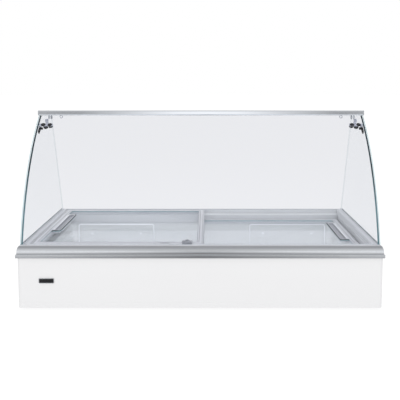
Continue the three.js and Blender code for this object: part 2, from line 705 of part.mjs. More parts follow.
const MACHINE_FLOOR = FOOT_HEIGHT + GAP + SHEET + GAP;
const COMPRESSOR = { x: -440, y: BACK + 68, z: 76, radius: 50, half: 92 };
const FAN = { x: (CONDENSER_X[0] + CONDENSER_X[1]) / 2, y: BACK + 78, z: 88, radius: 52 };

function compressor() {
  const { x, y, z, radius, half } = COMPRESSOR;
  const profile = [[0, -half], [radius * 0.55, -half], [radius * 0.86, -half + 9],
    [radius, -half + 26], [radius, half - 26], [radius * 0.86, half - 9], [radius * 0.55, half],
    [0, half]];
  const shell = turned(profile, "x", [x, y, z], 28);
  const footCentres = [x - 56, x + 56];
  const feet = footCentres.map((fx) =>
    block([fx - 12, fx + 12], [y - radius, y + radius], [MACHINE_FLOOR, MACHINE_FLOOR + 5]));
  const saddles = footCentres.map((fx) =>
    block([fx - 3, fx + 3], [y - 30, y + 30], [MACHINE_FLOOR, z - 20]));
  const terminal = block([x + half - 20, x + half + 10], [y - 16, y + 16], [z - 16, z + 16]);
  return join(shell, ...feet, ...saddles, terminal);
}

function condenser() {
  const y0 = BACK + 104;
  const finCount = 24;
  const finThickness = 1.4;
  const pitch = (CONDENSER_X[1] - CONDENSER_X[0] - finThickness) / (finCount - 1);
  const core = block(CONDENSER_X, [y0 + 8, y0 + 16], [MACHINE_FLOOR, CONDENSER_TOP]);
  const fins = Array.from({ length: finCount }, (_, i) => {
    const x = CONDENSER_X[0] + i * pitch;
    return block([x, x + finThickness], [y0, y0 + 24], [MACHINE_FLOOR + 4, CONDENSER_TOP - 4]);
  });
  return join(core, ...fins);
}

function fanShroud() {
  const y0 = FAN.y - 12;
  const plate = block(CONDENSER_X, [BACK + 98, BACK + 100], [MACHINE_FLOOR, CONDENSER_TOP]);
  const ring = rod(FAN.radius + 6, 34, "y", [FAN.x, y0 + 17, FAN.z], 36);
  const bore = rod(FAN.radius + 4, 80, "y", [FAN.x, y0 + 17, FAN.z], 36);
  const struts = [45, 135].map((deg) => {
    const bar = new THREE.BoxGeometry(2 * FAN.radius + 9, 3, 5);
    bar.rotateY(THREE.MathUtils.degToRad(deg));
    return bar.translate(FAN.x, y0 + 1.5, FAN.z);
  });
  return join(cut(join(plate, ring), bore), ...struts);
}

function fanMotor() {
  const y1 = FAN.y - 12 - GAP;
  return turned([[0, -34], [20, -34], [23, -30], [23, -4], [20, 0], [0, 0]], "y",
    [FAN.x, y1, FAN.z], 28);
}

function fanBlades() {
  const hub = rod(16, 16, "y", [FAN.x, FAN.y + 2, FAN.z], 24);
  const blades = Array.from({ length: 5 }, (_, i) => {
    const blade = new THREE.BoxGeometry(34, 2.2, 22);
    blade.rotateX(0.55);
    blade.translate(31, 0, 0);
    blade.rotateY((2 * Math.PI * i) / 5);
    return blade.translate(FAN.x, FAN.y + 2, FAN.z);
  });
  return join(hub, ...blades);
}

function filterDrier() {
  return turned([[0, -55], [4, -55], [4, -42], [12, -34], [12, 34], [4, 42], [4, 55], [0, 55]],
    "x", [80, BACK + 40, 60], 20);
}

function suctionPipe() {
  const { x, y, z, radius } = COMPRESSOR;
  return bentBar([[x - 20, y, z + radius + 0.6], [x - 20, y, z + radius + 16],
    [x - 34, y - 20, z + radius + 28], [x - 60, y - 45, z + radius + 20],
    [x - 60, y - 61, z + radius + 6]], 4, 20);
}

function dischargePipe() {
  const { x, y, z, radius } = COMPRESSOR;
  return bentBar([[x + 40, y, z + radius + 0.6], [x + 40, y, z + radius + 14],
    [x + 70, y + 10, z + radius + 24], [x + 112, y + 44, z + radius + 12],
    [x + 136, y + 48, z + radius + 2]], 3.2, 20);
}

function controlBox() {
  const box = block(CONTROL_X, [MACHINE_BACK - 70, MACHINE_BACK + 2], CONTROL_Z);
  const display = block([CONTROL_X[0] + 18, CONTROL_X[0] + 84], [MACHINE_BACK + 0.8, REAR],
    [CONTROL_Z[1] - 42, CONTROL_Z[1] - 14]); // recess for the temperature display
  const holes = BUTTON_X.map((x) => rod(5.6, 14, "y", [x, MACHINE_BACK + 2, BUTTON_Z], 20));
  const switchHole = block([SWITCH.x - 12, SWITCH.x + 12], [MACHINE_BACK - 12, REAR],
    [SWITCH.z - 16, SWITCH.z + 16]);
  return cut(box, display, ...holes, switchHole);
}

const BUTTON_X = [0, 1, 2].map((i) => CONTROL_X[0] + 27 + i * 24);
const BUTTON_Z = CONTROL_Z[0] + 22;
const SWITCH = {
  x: CONTROL_X[1] - 36, y: MACHINE_BACK - 0.8, z: (CONTROL_Z[0] + CONTROL_Z[1]) / 2, tilt: 6,
};

function button(x) {
  return turned([[0, 0], [5, 0], [5, 7], [4.2, 8], [0, 8]], "y",
    [x, MACHINE_BACK - 2.6, BUTTON_Z], 20);
}

function rocker() {
  const outline = shapeOf([[-4, -13.5], [5.6, -14.5], [3.6, 0], [5.6, 14.5], [-4, 13.5]]);
  return alongX(outline, -11, 11).rotateX(THREE.MathUtils.degToRad(SWITCH.tilt))
    .translate(SWITCH.x, SWITCH.y, SWITCH.z);
}

function powerInlet() {
  const body = block(INLET_X, [MACHINE_BACK - 26, MACHINE_BACK + 1.5], INLET_Z);
  const flange = block([INLET_X[0] - 4, INLET_X[1] + 4], [MACHINE_BACK + GAP, MACHINE_BACK + 2.5],
    [INLET_Z[0] - 4, INLET_Z[1] + 4]);
  const socket = block([INLET_X[0] + 11, INLET_X[1] - 11], [MACHINE_BACK - 16, REAR],
    [INLET_Z[0] + 6, INLET_Z[1] - 6]);
  const middle = (INLET_X[0] + INLET_X[1]) / 2;
  const pins = [middle - 9, middle, middle + 9].map((x) =>
    block([x - 1, x + 1], [MACHINE_BACK - 18, MACHINE_BACK - 3], [INLET_Z[0] + 13, INLET_Z[0] + 17]));
  return join(cut(join(body, flange), socket), ...pins);
}

function drainSpout() {
  const length = MACHINE_BACK - BACK + 4;
  const tube = rod(9, length, "y", [DRAIN_X, BACK + 1 + length / 2, DRAIN_Z], 24);
  const collar = rod(16, 2, "y", [DRAIN_X, MACHINE_BACK + GAP + 1, DRAIN_Z], 24);
  const bore = rod(6.5, 40, "y", [DRAIN_X, MACHINE_BACK + 5, DRAIN_Z], 24);
  return cut(join(tube, collar), bore);
}

function drainCap() {
  const ribs = 12;
  const outline = Array.from({ length: 48 }, (_, i) => {
    const angle = (2 * Math.PI * i) / 48;
    const radius = 14 + 0.6 * Math.cos(ribs * angle);
    return [radius * Math.cos(angle), radius * Math.sin(angle)];
  });
  const y0 = MACHINE_BACK + 2 + 2 * GAP;
  const cap = alongY(shapeOf(outline), y0, REAR).translate(DRAIN_X, 0, DRAIN_Z);
  const bore = rod(9 + GAP, 4.6, "y", [DRAIN_X, y0 + 1.3, DRAIN_Z], 24);
  return cut(cap, bore);
}

// ---------------------------------------------------------------- assembly

piece("base_pan", basePan(), finishes.steel);
piece("front_panel", frontPanel(), finishes.whitePaint);
piece("rear_partition", rearPartition(), finishes.steel);
piece("machine_cover", machineCover(), finishes.whitePaint);
piece("insulation_shell", insulationShell(), finishes.foam);
piece("tank_liner", tankLiner(), finishes.liner);
piece("throat_collar", throatCollar(), finishes.greyPlastic);
piece("evaporator_coil", evaporatorCoil(), finishes.copper);
piece("badge_plate", badgePlate(), finishes.darkPlastic);

piece("front_rail", crossRail(true), finishes.aluminium);
piece("back_rail", crossRail(false), finishes.aluminium);
piece("front_track", lidTrack(FRONT_WALL, FRONT_UPPER_LEDGE, FRONT_LOWER_LEDGE,
  (inset) => FRONT + inset), finishes.greyPlastic);
piece("back_track", lidTrack(BACK_WALL, BACK_UPPER_LEDGE, BACK_LOWER_LEDGE,
  (inset) => BACK - inset), finishes.greyPlastic);

piece("front_glass", frontGlass(), finishes.glass);
piece("top_rail", topRail(), finishes.aluminium);

const clamps = clampFrame();
for (const [name, side] of SIDES) {
  piece(name + "_side_panel", sidePanel(side), finishes.whitePaint);
  piece(name + "_rail", sideRail(side), finishes.aluminium);
  piece(name + "_end_trim", endTrim(side), finishes.greyPlastic);
  piece(name + "_side_glass", sideGlass(side), finishes.glass);
  piece(name + "_glass_stud", glassStud(side), finishes.chrome);
  piece(name + "_tub_guard", tubGuard(side), finishes.whitePaint);
  piece(name + "_clamp_bracket", clampBracket(side), finishes.chrome, clamps);
  const knob = piece(name + "_clamp_knob", thumbKnob(), finishes.darkPlastic, clamps);
  knob.position.set(side * (SIDE_GLASS_X - CLAMP.knobInset), 5.2, 0);
  for (const [end, y] of [["front", FRONT + 70], ["rear", REAR - 60]]) {
    const rest = piece("foot_" + end + "_" + name, foot(), finishes.rubber);
    rest.position.set(side * (HALF - 80), y, 0);
  }
}

for (const [name, lid] of [["left", UPPER_LID], ["right", LOWER_LID]]) {
  piece(name + "_lid_frame", lidFrame(lid), finishes.palePlastic);
  piece(name + "_lid_glass", lidGlass(lid), finishes.glass);
  piece(name + "_lid_handle", lidHandle(lid), finishes.palePlastic);
}
piece("lock_body", lockBody(), finishes.steel);
piece("lock_cylinder", lockCylinder(), finishes.chrome);

piece("compressor", compressor(), finishes.blackPaint);
piece("condenser", condenser(), finishes.steel);
piece("fan_shroud", fanShroud(), finishes.darkPlastic);
piece("fan_motor", fanMotor(), finishes.steel);
piece("fan_blades", fanBlades(), finishes.aluminium);
piece("filter_drier", filterDrier(), finishes.copper);
piece("suction_pipe", suctionPipe(), finishes.copper);
piece("discharge_pipe", dischargePipe(), finishes.copper);
piece("control_box", controlBox(), finishes.darkPlastic);
["set", "down", "up"].forEach((name, i) => {
  piece(name + "_button", button(BUTTON_X[i]), finishes.palePlastic);
});
piece("power_switch", rocker(), finishes.rubber);
piece("power_inlet", powerInlet(), finishes.darkPlastic);
piece("drain_spout", drainSpout(), finishes.palePlastic);
piece("drain_cap", drainCap(), finishes.darkPlastic);

export default cabinet;
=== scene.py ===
"""Looks of an ice cream dipping cabinet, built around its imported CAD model.

Lengths in this script are millimetres in the CAD frame (+X right, +Y back, +Z up) and become
metres when a mesh is made.
"""

import json
import math

import bmesh
import bpy
from mathutils import Matrix, Vector


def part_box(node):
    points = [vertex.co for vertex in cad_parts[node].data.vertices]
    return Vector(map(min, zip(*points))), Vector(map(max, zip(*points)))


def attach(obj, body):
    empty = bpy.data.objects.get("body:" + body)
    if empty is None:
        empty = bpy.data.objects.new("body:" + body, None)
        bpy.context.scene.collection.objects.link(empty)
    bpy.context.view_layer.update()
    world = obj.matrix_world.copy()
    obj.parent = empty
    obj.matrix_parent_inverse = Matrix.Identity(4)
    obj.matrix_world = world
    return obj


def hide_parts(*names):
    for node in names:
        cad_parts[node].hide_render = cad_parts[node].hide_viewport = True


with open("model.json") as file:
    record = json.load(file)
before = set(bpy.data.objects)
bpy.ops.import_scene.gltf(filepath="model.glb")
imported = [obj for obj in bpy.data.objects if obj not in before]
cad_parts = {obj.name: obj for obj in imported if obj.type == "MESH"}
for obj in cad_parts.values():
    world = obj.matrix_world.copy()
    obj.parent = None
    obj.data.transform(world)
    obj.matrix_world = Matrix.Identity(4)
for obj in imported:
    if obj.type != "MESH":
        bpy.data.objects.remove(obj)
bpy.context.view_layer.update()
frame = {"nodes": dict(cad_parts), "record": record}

MM = 0.001
scene = bpy.context.scene


def span(node):
    """A CAD node's box at rest as three (low, high) pairs in millimetres."""
    lo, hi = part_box(node)
    return [(lo[i] / MM, hi[i] / MM) for i in range(3)]


# ---------------------------------------------------------------- shader nodes


def linear(*srgb):
    """A colour given in 0-255 sRGB, as linear values with alpha."""
    return tuple(((c / 255 + 0.055) / 1.055) ** 2.4 if c > 10 else c / 255 / 12.92 for c in srgb) + (1.0,)


def scaled(colour, factor):
    return tuple(min(c * factor, 1.0) for c in colour[:3]) + (1.0,)


def level(value):
    return (value, value, value, 1.0)


def feed(tree, socket, value):
    """Links an output to a socket, or sets a constant on it."""
    if isinstance(value, bpy.types.NodeSocket):
        tree.links.new(value, socket)
    else:
        socket.default_value = value


def node(tree, kind, **values):
    """A new node with values for its inputs, by name."""
    made = tree.nodes.new("ShaderNode" + kind)
    for name, value in values.items():
        feed(tree, made.inputs[name.replace("_", " ")], value)
    return made


def grain(tree, scale, stretch=(1, 1, 1), detail=3.0, kind="TexNoise"):
    """A texture in the object's own coordinates, finer along the axes that stretch enlarges."""
    coords = node(tree, "TexCoord").outputs["Object"]
    mapping = node(tree, "Mapping", Scale=stretch, Vector=coords)
    texture = node(tree, kind, Scale=scale, Detail=detail, Vector=mapping.outputs["Vector"])
    return texture.outputs["Fac"] if "Fac" in texture.outputs else texture.outputs["Distance"]


def ramp(tree, source, stops):
    made = node(tree, "ValToRGB", Fac=source)
    elements = made.color_ramp.elements
    while len(elements) < len(stops):
        elements.new(0.5)
    for element, (position, colour) in zip(elements, stops):
        element.position = position
        element.color = colour
    return made.outputs["Color"]


def spread(tree, source, low, high, start=0.3, end=0.7):
    """Values from low to high while the source goes from start to end."""
    made = node(tree, "MapRange", Value=source, From_Min=start, From_Max=end, To_Min=low, To_Max=high)
    return made.outputs["Result"]


def operate(tree, operation, *values, clamp=False):
    made = node(tree, "Math")
    made.operation = operation
    made.use_clamp = clamp
    for socket, value in zip(made.inputs, values):
        feed(tree, socket, value)
    return made.outputs["Value"]


def blend(tree, kind, factor, first, second):
    """A MixRGB or MixShader node between two values."""
    made = node(tree, kind)
    for socket, value in zip(made.inputs, (factor, first, second)):
        feed(tree, socket, value)
    return made.outputs[0]


def blank(name):
    """An empty material, its node tree and the socket for its surface."""
    material = bpy.data.materials.new(name)
    material.use_nodes = True
    tree = material.node_tree
    tree.nodes.clear()
    return material, tree, node(tree, "OutputMaterial").inputs["Surface"]


# ---------------------------------------------------------------- materials


def coated(name, srgb, roughness, metallic=0.0, tone=0.03, rough_tone=0.05, scale=5, stretch=(1, 1, 1),
           bump=0.1, bump_scale=500, bump_stretch=(1, 1, 1), kind="TexNoise"):
    """An opaque finish: slow colour and gloss variation with a fine surface grain."""
    material, tree, surface = blank(name)
    colour = linear(*srgb)
    slow = grain(tree, scale, stretch, kind=kind)
    stops = [(0.3, scaled(colour, 1 - tone)), (0.7, scaled(colour, 1 + tone))]
    fine = grain(tree, bump_scale, bump_stretch, detail=2.0)
    relief = node(tree, "Bump", Strength=bump, Distance=0.0005, Height=fine)
    shader = node(tree, "BsdfPrincipled", Base_Color=ramp(tree, slow, stops), Metallic=metallic,
                  Roughness=spread(tree, slow, roughness - rough_tone, roughness + rough_tone),
                  Normal=relief.outputs["Normal"])
    tree.links.new(shader.outputs["BSDF"], surface)
    return material


def pane(name, tint, smudge=0.03, gloss=0.9, least=0.02):
    """Clear thin glass: what is behind it shows through unbent, with a mirror's share by Fresnel."""
    material, tree, surface = blank(name)
    clear = node(tree, "BsdfTransparent", Color=tint)
    smear = spread(tree, grain(tree, 3, (1, 1, 2)), 0.0, smudge)
    mirror = node(tree, "BsdfAnisotropic", Color=level(1), Roughness=smear)
    slant = operate(tree, "POWER", node(tree, "LayerWeight", Blend=0.5).outputs["Facing"], 5.0)
    share = operate(tree, "MULTIPLY_ADD", slant, gloss, least)
    mixed = blend(tree, "MixShader", share, clear.outputs["BSDF"], mirror.outputs["BSDF"])
    tree.links.new(mixed, surface)
    return material


def glowing(name, colour, strength):
    """A lit figure behind a display window."""
    material, tree, surface = blank(name)
    shader = node(tree, "BsdfPrincipled", Base_Color=colour, Emission_Color=colour,
                  Emission_Strength=strength, Roughness=spread(tree, grain(tree, 400), 0.3, 0.4))
    tree.links.new(shader.outputs["BSDF"], surface)
    return material


def glass_edge(name, low, high):
    """The polished edge of the guard glass: sea green, lighter towards the bottom as a painted highlight
    and darker towards the top as painted shade.
    """
    material, tree, surface = blank(name)
    parts = node(tree, "SeparateXYZ", Vector=node(tree, "TexCoord").outputs["Object"])
    height = spread(tree, parts.outputs["Z"], 0.0, 1.0, 0.22, 0.66)
    shader = node(tree, "BsdfPrincipled", Base_Color=ramp(tree, height, [(0.25, low), (0.6, high)]),
                  Roughness=spread(tree, grain(tree, 40), 0.12, 0.2))
    tree.links.new(shader.outputs["BSDF"], surface)
    return material


ALONG_X = (1, 60, 60)
ALONG_Y = (60, 1, 60)
PAINT = coated("white_paint", (220, 220, 221), 0.3, tone=0.001, rough_tone=0.01, bump=0.06,
               bump_scale=900)
RAIL_X = coated("brushed_rail_x", (229, 232, 237), 0.13, 1.0, 0.03, 0.03, 12, ALONG_X,
                0.08, 30, ALONG_X)
RAIL_Y = coated("brushed_rail_y", (226, 228, 233), 0.38, 0.9, 0.03, 0.03, 12, ALONG_Y,
                0.08, 30, ALONG_Y)
POLISHED = coated("satin_top_rail", (244, 248, 254), 0.05, 1.0, 0.01, 0.02, 12, ALONG_X,
                  0.01, 30, ALONG_X)
CLEAR_SEAL = coated("clear_seal", (206, 209, 213), 0.4, tone=0.02, bump=0.1)
LID_SEAL = coated("lid_seal", (190, 192, 196), 0.6, tone=0.03, bump=0.1)
GLOW = glowing("display_figures", (0.9, 0.14, 0.05, 1.0), 0.8)
PLATE = coated("blank_plate", (196, 198, 200), 0.35, 0.8, 0.03, 0.05, 20, ALONG_X, 0.08, 40, ALONG_X)
CLEAR_EDGE = pane("side_glass_edge", (0.88, 0.905, 0.91, 1.0), 0.05, 0.2)
# a near-white for the lip round the finger pull's scoop: a painted highlight on its ridge
PULL_LIP_HIGHLIGHT = coated("finger_pull_lip_highlight", (244, 245, 247), 0.25, tone=0.01, bump=0.03)
END_CAP = coated("rail_end_cap", (176, 179, 184), 0.4, tone=0.03, bump=0.1)
CLAMP_METAL = coated("clamp_metal", (196, 199, 208), 0.35, 0.35, 0.05, 0.05, 30, bump=0.05)
# a darker grey for the faces of the lid frame's two grooves: painted shade in the grooves
SHADOW_LINE = coated("frame_groove_painted_shade", (150, 152, 157), 0.6, tone=0.03, bump=0.1)
# a darker grey for the finger pull's recess and ribs: painted shade in the hollow
PULL_RECESS_SHADE = coated("finger_pull", (166, 168, 173), 0.42, tone=0.03, bump=0.1, bump_scale=700)
LID_GLASS_EDGE = coated("lid_glass_edge", (150, 176, 178), 0.2, tone=0.03, bump=0.02)
GALVANISED = coated("galvanised", (168, 172, 178), 0.42, 0.9, 0.1, 0.08, 60,
                    kind="TexVoronoi", bump=0.08, bump_scale=200)
FOAM = coated("foam", (226, 214, 170), 0.9, tone=0.08, bump=0.4, bump_scale=250)
LINER = coated("liner", (228, 229, 229), 0.4, 0.0, 0.01, 0.05, 4, bump=0.05, bump_scale=300)
THROAT = coated("throat_plastic", (214, 216, 216), 0.45, tone=0.02, bump=0.1, bump_scale=800)
TRACK = coated("track_plastic", (206, 208, 210), 0.42, tone=0.02, bump=0.1, bump_scale=800)
LID_PLASTIC = coated("lid_plastic", (198, 200, 204), 0.4, tone=0.015, bump=0.08, bump_scale=800)
LID_GLASS = pane("lid_glass", (0.965, 0.972, 0.98, 1.0), 0.03, 0.1)
GUARD_GLASS = pane("guard_glass", (0.902, 0.906, 0.922, 1.0), 0.01, 0.4)
SIDE_PANE = pane("side_glass", (0.986, 0.99, 0.992, 1.0), 0.01, 0.04, 0.004)
# the side panes' front edge: sea green with painted highlight low down and painted shade high up
GLASS_EDGE = glass_edge("glass_edge", linear(104, 140, 146), linear(30, 58, 64))
GLASS_RIM = coated("glass_rim", (214, 238, 240), 0.2, tone=0.02, bump=0.02)
CHROME = coated("chrome", (205, 208, 212), 0.12, 1.0, 0.02, 0.03, 20, bump=0.03)
LOCK_METAL = coated("lock_metal", (196, 198, 202), 0.35, 0.6, 0.04, 0.05, 40, bump=0.08)
KNOB = coated("knob_plastic", (38, 40, 45), 0.4, tone=0.08, bump=0.15, bump_scale=900)
WIRE = coated("wire_white", (246, 247, 249), 0.35, tone=0.01, bump=0.05)
BADGE = coated("badge", (30, 31, 34), 0.3, 0.3, 0.06, 0.05, 30, (1, 8, 8), 0.05)
COPPER = coated("copper", (196, 122, 82), 0.28, 1.0, 0.12, 0.08, 30, bump=0.06)
BLACK = coated("black_paint", (28, 29, 31), 0.35, tone=0.1, bump=0.1, bump_scale=400)
FIN = coated("fin_aluminium", (190, 192, 194), 0.35, 0.9, 0.06, 0.06, 30, bump=0.08)
DARK = coated("dark_plastic", (44, 46, 50), 0.45, tone=0.06, bump=0.2, bump_scale=900)
KEY = coated("key_plastic", (206, 208, 210), 0.45, tone=0.02, bump=0.08)
RUBBER = coated("rubber", (34, 34, 36), 0.75, tone=0.08, bump=0.3, bump_scale=600)
# a mid grey for the thin strip on the front rail's rounded top: a painted dark reflection
PAINTED_REFLECTION_GREY = coated("rail_reflection_painted_grey", (128, 130, 134), 0.6, tone=0.03, bump=0.2, bump_scale=600)

FINISHES = {
    "white_paint": PAINT, "rail_aluminium": RAIL_X, "galvanised": GALVANISED, "foam": FOAM,
    "liner": LINER, "throat_plastic": THROAT, "track_plastic": TRACK, "lid_plastic": LID_PLASTIC,
    "lid_glass": LID_GLASS, "guard_glass": GUARD_GLASS, "chrome": CHROME, "lock_metal": LOCK_METAL,
    "knob_plastic": KNOB, "wire_white": WIRE, "badge": BADGE, "copper": COPPER,
    "black_paint": BLACK, "fin_aluminium": FIN, "fan_aluminium": FIN, "dark_plastic": DARK,
    "key_plastic": KEY, "rubber": RUBBER,
}

for row in frame["record"]["subparts"]:
    slots = frame["nodes"][row["node"]].data.materials
    slots.clear()
    slots.append(FINISHES[row["material_slot"]])

# ---------------------------------------------------------------- outlines


def at_axis(axis, value, u, v):
    """The point at value along an axis, with u and v along the other two in their order."""
    return {"x": (value, u, v), "y": (u, value, v), "z": (u, v, value)}[axis]


def arc(centre, radius, start, end, steps):
    """Points round an arc in degrees, both ends included."""
    angles = [math.radians(start + (end - start) * i / steps) for i in range(steps + 1)]
    return [(centre[0] + radius * math.cos(a), centre[1] + radius * math.sin(a)) for a in angles]


def circle(radius, steps, centre=(0, 0), bite=0.0, lobes=0, phase=0.0):
    """Points round a circle, whose radius may wave in and out by bite, lobes times a turn."""
    points = []
    for k in range(steps):
        a = 2 * math.pi * (k + phase) / steps
        r = radius + bite * math.cos(lobes * a)
        points.append((centre[0] + r * math.cos(a), centre[1] + r * math.sin(a)))
    return points


def rounded(us, vs, radius, steps=8):
    """A rectangle with round corners, anticlockwise."""
    (u0, u1), (v0, v1) = us, vs
    points = []
    for centre, start in (((u1 - radius, v0 + radius), -90), ((u1 - radius, v1 - radius), 0),
                          ((u0 + radius, v1 - radius), 90), ((u0 + radius, v0 + radius), 180)):
        points += arc(centre, radius, start, start + 90, steps)
    return points


def about(middle, half):
    """The span of half to each side of a middle."""
    return (middle - half, middle + half)


def mirrored(side, a, b):
    """A span from a to b on the right, or its mirror on the left."""
    return (a, b) if side > 0 else (-b, -a)


def shrunk(points, inset):
    """A closed outline moved inwards by inset."""
    n = len(points)
    area = sum(points[i][0] * points[(i + 1) % n][1] - points[(i + 1) % n][0] * points[i][1]
               for i in range(n))
    turn = 1 if area > 0 else -1
    moved = []
    for i in range(n):
        a, b, c = Vector(points[i - 1]), Vector(points[i]), Vector(points[(i + 1) % n])
        first, second = (b - a).normalized(), (c - b).normalized()
        n1, n2 = Vector((-first.y, first.x)) * turn, Vector((-second.y, second.x)) * turn
        middle = (n1 + n2).normalized()
        moved.append(tuple(b + middle * (inset / max(middle.dot(n1), 0.5))))
    return moved


def stacked(outline, axis, steps):
    """Rings of one outline along an axis. A step is how far a ring is moved inwards, and its place."""
    return [[at_axis(axis, value, u, v) for u, v in shrunk(outline, inset)] for inset, value in steps]


def disc(radius, low, high):
    """The profile of a plain round disc."""
    return [(0, low), (radius, low), (radius, high), (0, high)]


# ---------------------------------------------------------------- mesh building


class Shape:
    """Collects closed bodies as vertices and faces with a material number each."""

    def __init__(self):
        self.points, self.faces, self.kinds = [], [], []

    def loft(self, rings, kinds=0, cap_kind=None, closed=False, at=None):
        """A skin over rings of points. kinds is one number, or one for each point of a ring."""
        n = len(rings[0])
        base = len(self.points)
        per_point = kinds if isinstance(kinds, list) else [kinds] * n
        points = [Vector(p) for ring in rings for p in ring]
        self.points += [at @ p for p in points] if at else points
        for k in range(len(rings) if closed else len(rings) - 1):
            a, b = base + k * n, base + (k + 1) % len(rings) * n
            for i in range(n):
                j = (i + 1) % n
                self.faces.append([a + i, a + j, b + j, b + i])
                self.kinds.append(per_point[i])
        if not closed:
            end = len(self.points)
            self.faces += [list(range(base, base + n))[::-1], list(range(end - n, end))]
            self.kinds += [per_point[0] if cap_kind is None else cap_kind] * 2
        return self

    def bar(self, outline, axis, start, end, kinds=0, at=None):
        """An outline drawn along an axis. start and end may depend on the outline's points."""
        rings = [[at_axis(axis, limit(u) if callable(limit) else limit, u, v) for u, v in outline]
                 for limit in (start, end)]
        return self.loft(rings, kinds, at=at)

    def slab(self, outline, axis, start, end, round_edge, kinds=0, cap_kind=0, at=None):
        """A flat plate from an outline, with its edges rounded over by round_edge."""
        small = round_edge * 0.3
        steps = ((round_edge, start), (small, start + small), (0, start + round_edge),
                 (0, end - round_edge), (small, end - small), (round_edge, end))
        return self.loft(stacked(outline, axis, steps), kinds, cap_kind, at=at)

    def pad(self, us, vs, corner, axis, limits, round_edge, kind=0, at=None, steps=8):
        """A flat rectangle with round corners and edges, between two limits along an axis."""
        return self.slab(rounded(us, vs, corner, steps), axis, *limits, round_edge, kind, kind, at)

    def lathe(self, profile, centre, axis="z", steps=40, kind=0, at=None, closed=False, lobes=0):
        """Turns (radius, height) points about an axis. closed joins the last point to the first.

        A third number in a point is how far the lobes wave its radius in and out.
        """
        rings = []
        for radius, height, *wave in profile:
            if radius:
                outline = circle(radius, steps, (0, 0), wave[0] if wave else 0.0, lobes)
                rings.append([Vector(centre) + Vector(at_axis(axis, height, u, v)) for u, v in outline])
        return self.loft(rings, kind, closed=closed, at=at)

    def tube(self, points, radius, sides=12, closed=False, kind=0, at=None):
        """A round bar along a path of points."""
        path = [Vector(p) for p in points]
        n = len(path)
        tangents = []
        for i in range(n):
            before = path[(i - 1) % n] if closed or i else path[0]
            after = path[(i + 1) % n] if closed or i < n - 1 else path[-1]
            tangents.append((after - before).normalized())
        side = tangents[0].orthogonal().normalized()
        rings = []
        for point, tangent in zip(path, tangents):
            side = (side - tangent * side.dot(tangent)).normalized()
            other = tangent.cross(side)
            rings.append([point + side * u + other * v for u, v in circle(radius, sides)])
        return self.loft(rings, kind, closed=closed, at=at)

    def hoop(self, centre, axis, radius, thickness, steps=40, sides=12, kind=0, at=None):
        """A round bar bent into a circle about an axis."""
        path = [Vector(centre) + Vector(at_axis(axis, 0, u, v)) for u, v in circle(radius, steps)]
        return self.tube(path, thickness, sides, closed=True, kind=kind, at=at)

    def piece(self, name, slot, materials, hides=(), body="cabinet", soften=0.0, sharp=35, merge=False):
        """Makes the object, rounds its sharp edges by soften millimetres and hangs it on a body."""
        mesh = bpy.data.meshes.new(name)
        mesh.from_pydata([p * MM for p in self.points], [], self.faces)
        for material in materials:
            mesh.materials.append(material)
        mesh.polygons.foreach_set("material_index", self.kinds)
        work = bmesh.new()
        work.from_mesh(mesh)
        if merge:
            bmesh.ops.remove_doubles(work, verts=work.verts, dist=1e-6)
            bmesh.ops.dissolve_degenerate(work, edges=work.edges, dist=1e-6)
        bmesh.ops.recalc_face_normals(work, faces=work.faces)
        work.to_mesh(mesh)
        work.free()
        smooth(mesh, sharp)
        obj = bpy.data.objects.new(name, mesh)
        scene.collection.objects.link(obj)
        if soften:
            bevel = obj.modifiers.new("rounded_edges", "BEVEL")
            bevel.width = soften * MM
            bevel.segments = 2
            bevel.limit_method = "ANGLE"
            bevel.angle_limit = math.radians(30)
            bevel.harden_normals = True
        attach(obj, body)
        if hides:
            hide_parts(*hides)
        return obj


def smooth(mesh, sharp):
    """Smooth shading, but for edges sharper than an angle in degrees."""
    mesh.polygons.foreach_set("use_smooth", [True] * len(mesh.polygons))
    mesh.set_sharp_from_angle(angle=math.radians(sharp))


SIDES = (("left", -1), ("right", 1))

# ---------------------------------------------------------------- places from the CAD

(_, HALF), (FRONT, FRONT_RAIL_IN), (RAIL_LOW, RAIL_TOP) = span("front_rail")
BACK_RAIL_IN, BACK = span("back_rail")[1]
SIDE_RAIL = HALF - span("right_rail")[0][0]
GLASS_HALF = span("front_glass")[0][1]
GLASS = 6
SIDE_GLASS_X = span("right_side_glass")[0][0]
GUARD_RADIUS = 779
GUARD_Y = FRONT + 772
GUARD_Z = 33
GROOVE_FLOOR = RAIL_TOP - 12.5
MITRE = 0.15

# ---------------------------------------------------------------- edge frame

LIP_Z = RAIL_LOW + 12.5
ROLL_Z = LIP_Z + 3.4
ROLL_DEPTH = 9.3
FRONT_GROOVE = (14, 25.5)
BACK_GROOVE = (14, 14.4)
SIDE_GROOVE = (HALF - SIDE_GLASS_X - GLASS - 0.5, HALF - SIDE_GLASS_X + 0.5)
BACK_CORNER = 21


def roll_point(degrees, lift=0.0):
    """Inset and height on the rail's rounded front, from 0 at its foot to 90 at its top."""
    a = math.radians(degrees)
    return (13 - (ROLL_DEPTH + lift) * math.cos(a), ROLL_Z + (RAIL_TOP - ROLL_Z + lift) * math.sin(a))


def rail_section(width, groove):
    """Inset and height round a rail's section, with a groove for the glass in its flat top."""
    points = [(width - 0.6, RAIL_LOW)] + arc((1.6, RAIL_LOW + 1.6), 1.6, -90, -180, 6)
    points += [(0, RAIL_LOW + 1.9), (0, LIP_Z - 1.9)] + arc((1.6, LIP_Z - 1.6), 1.6, 165, 90, 5)
    points += [(3.0, LIP_Z), (3.3, LIP_Z + 0.9), (3.7, LIP_Z + 1.6)]
    points += [roll_point(90 * i / 22) for i in range(23)]
    points += [(groove[0], RAIL_TOP), (groove[0], GROOVE_FLOOR), (groove[1], GROOVE_FLOOR),
               (groove[1], RAIL_TOP), (width - 0.8, RAIL_TOP), (width, RAIL_TOP - 0.8),
               (width, RAIL_LOW + 0.6)]
    return points


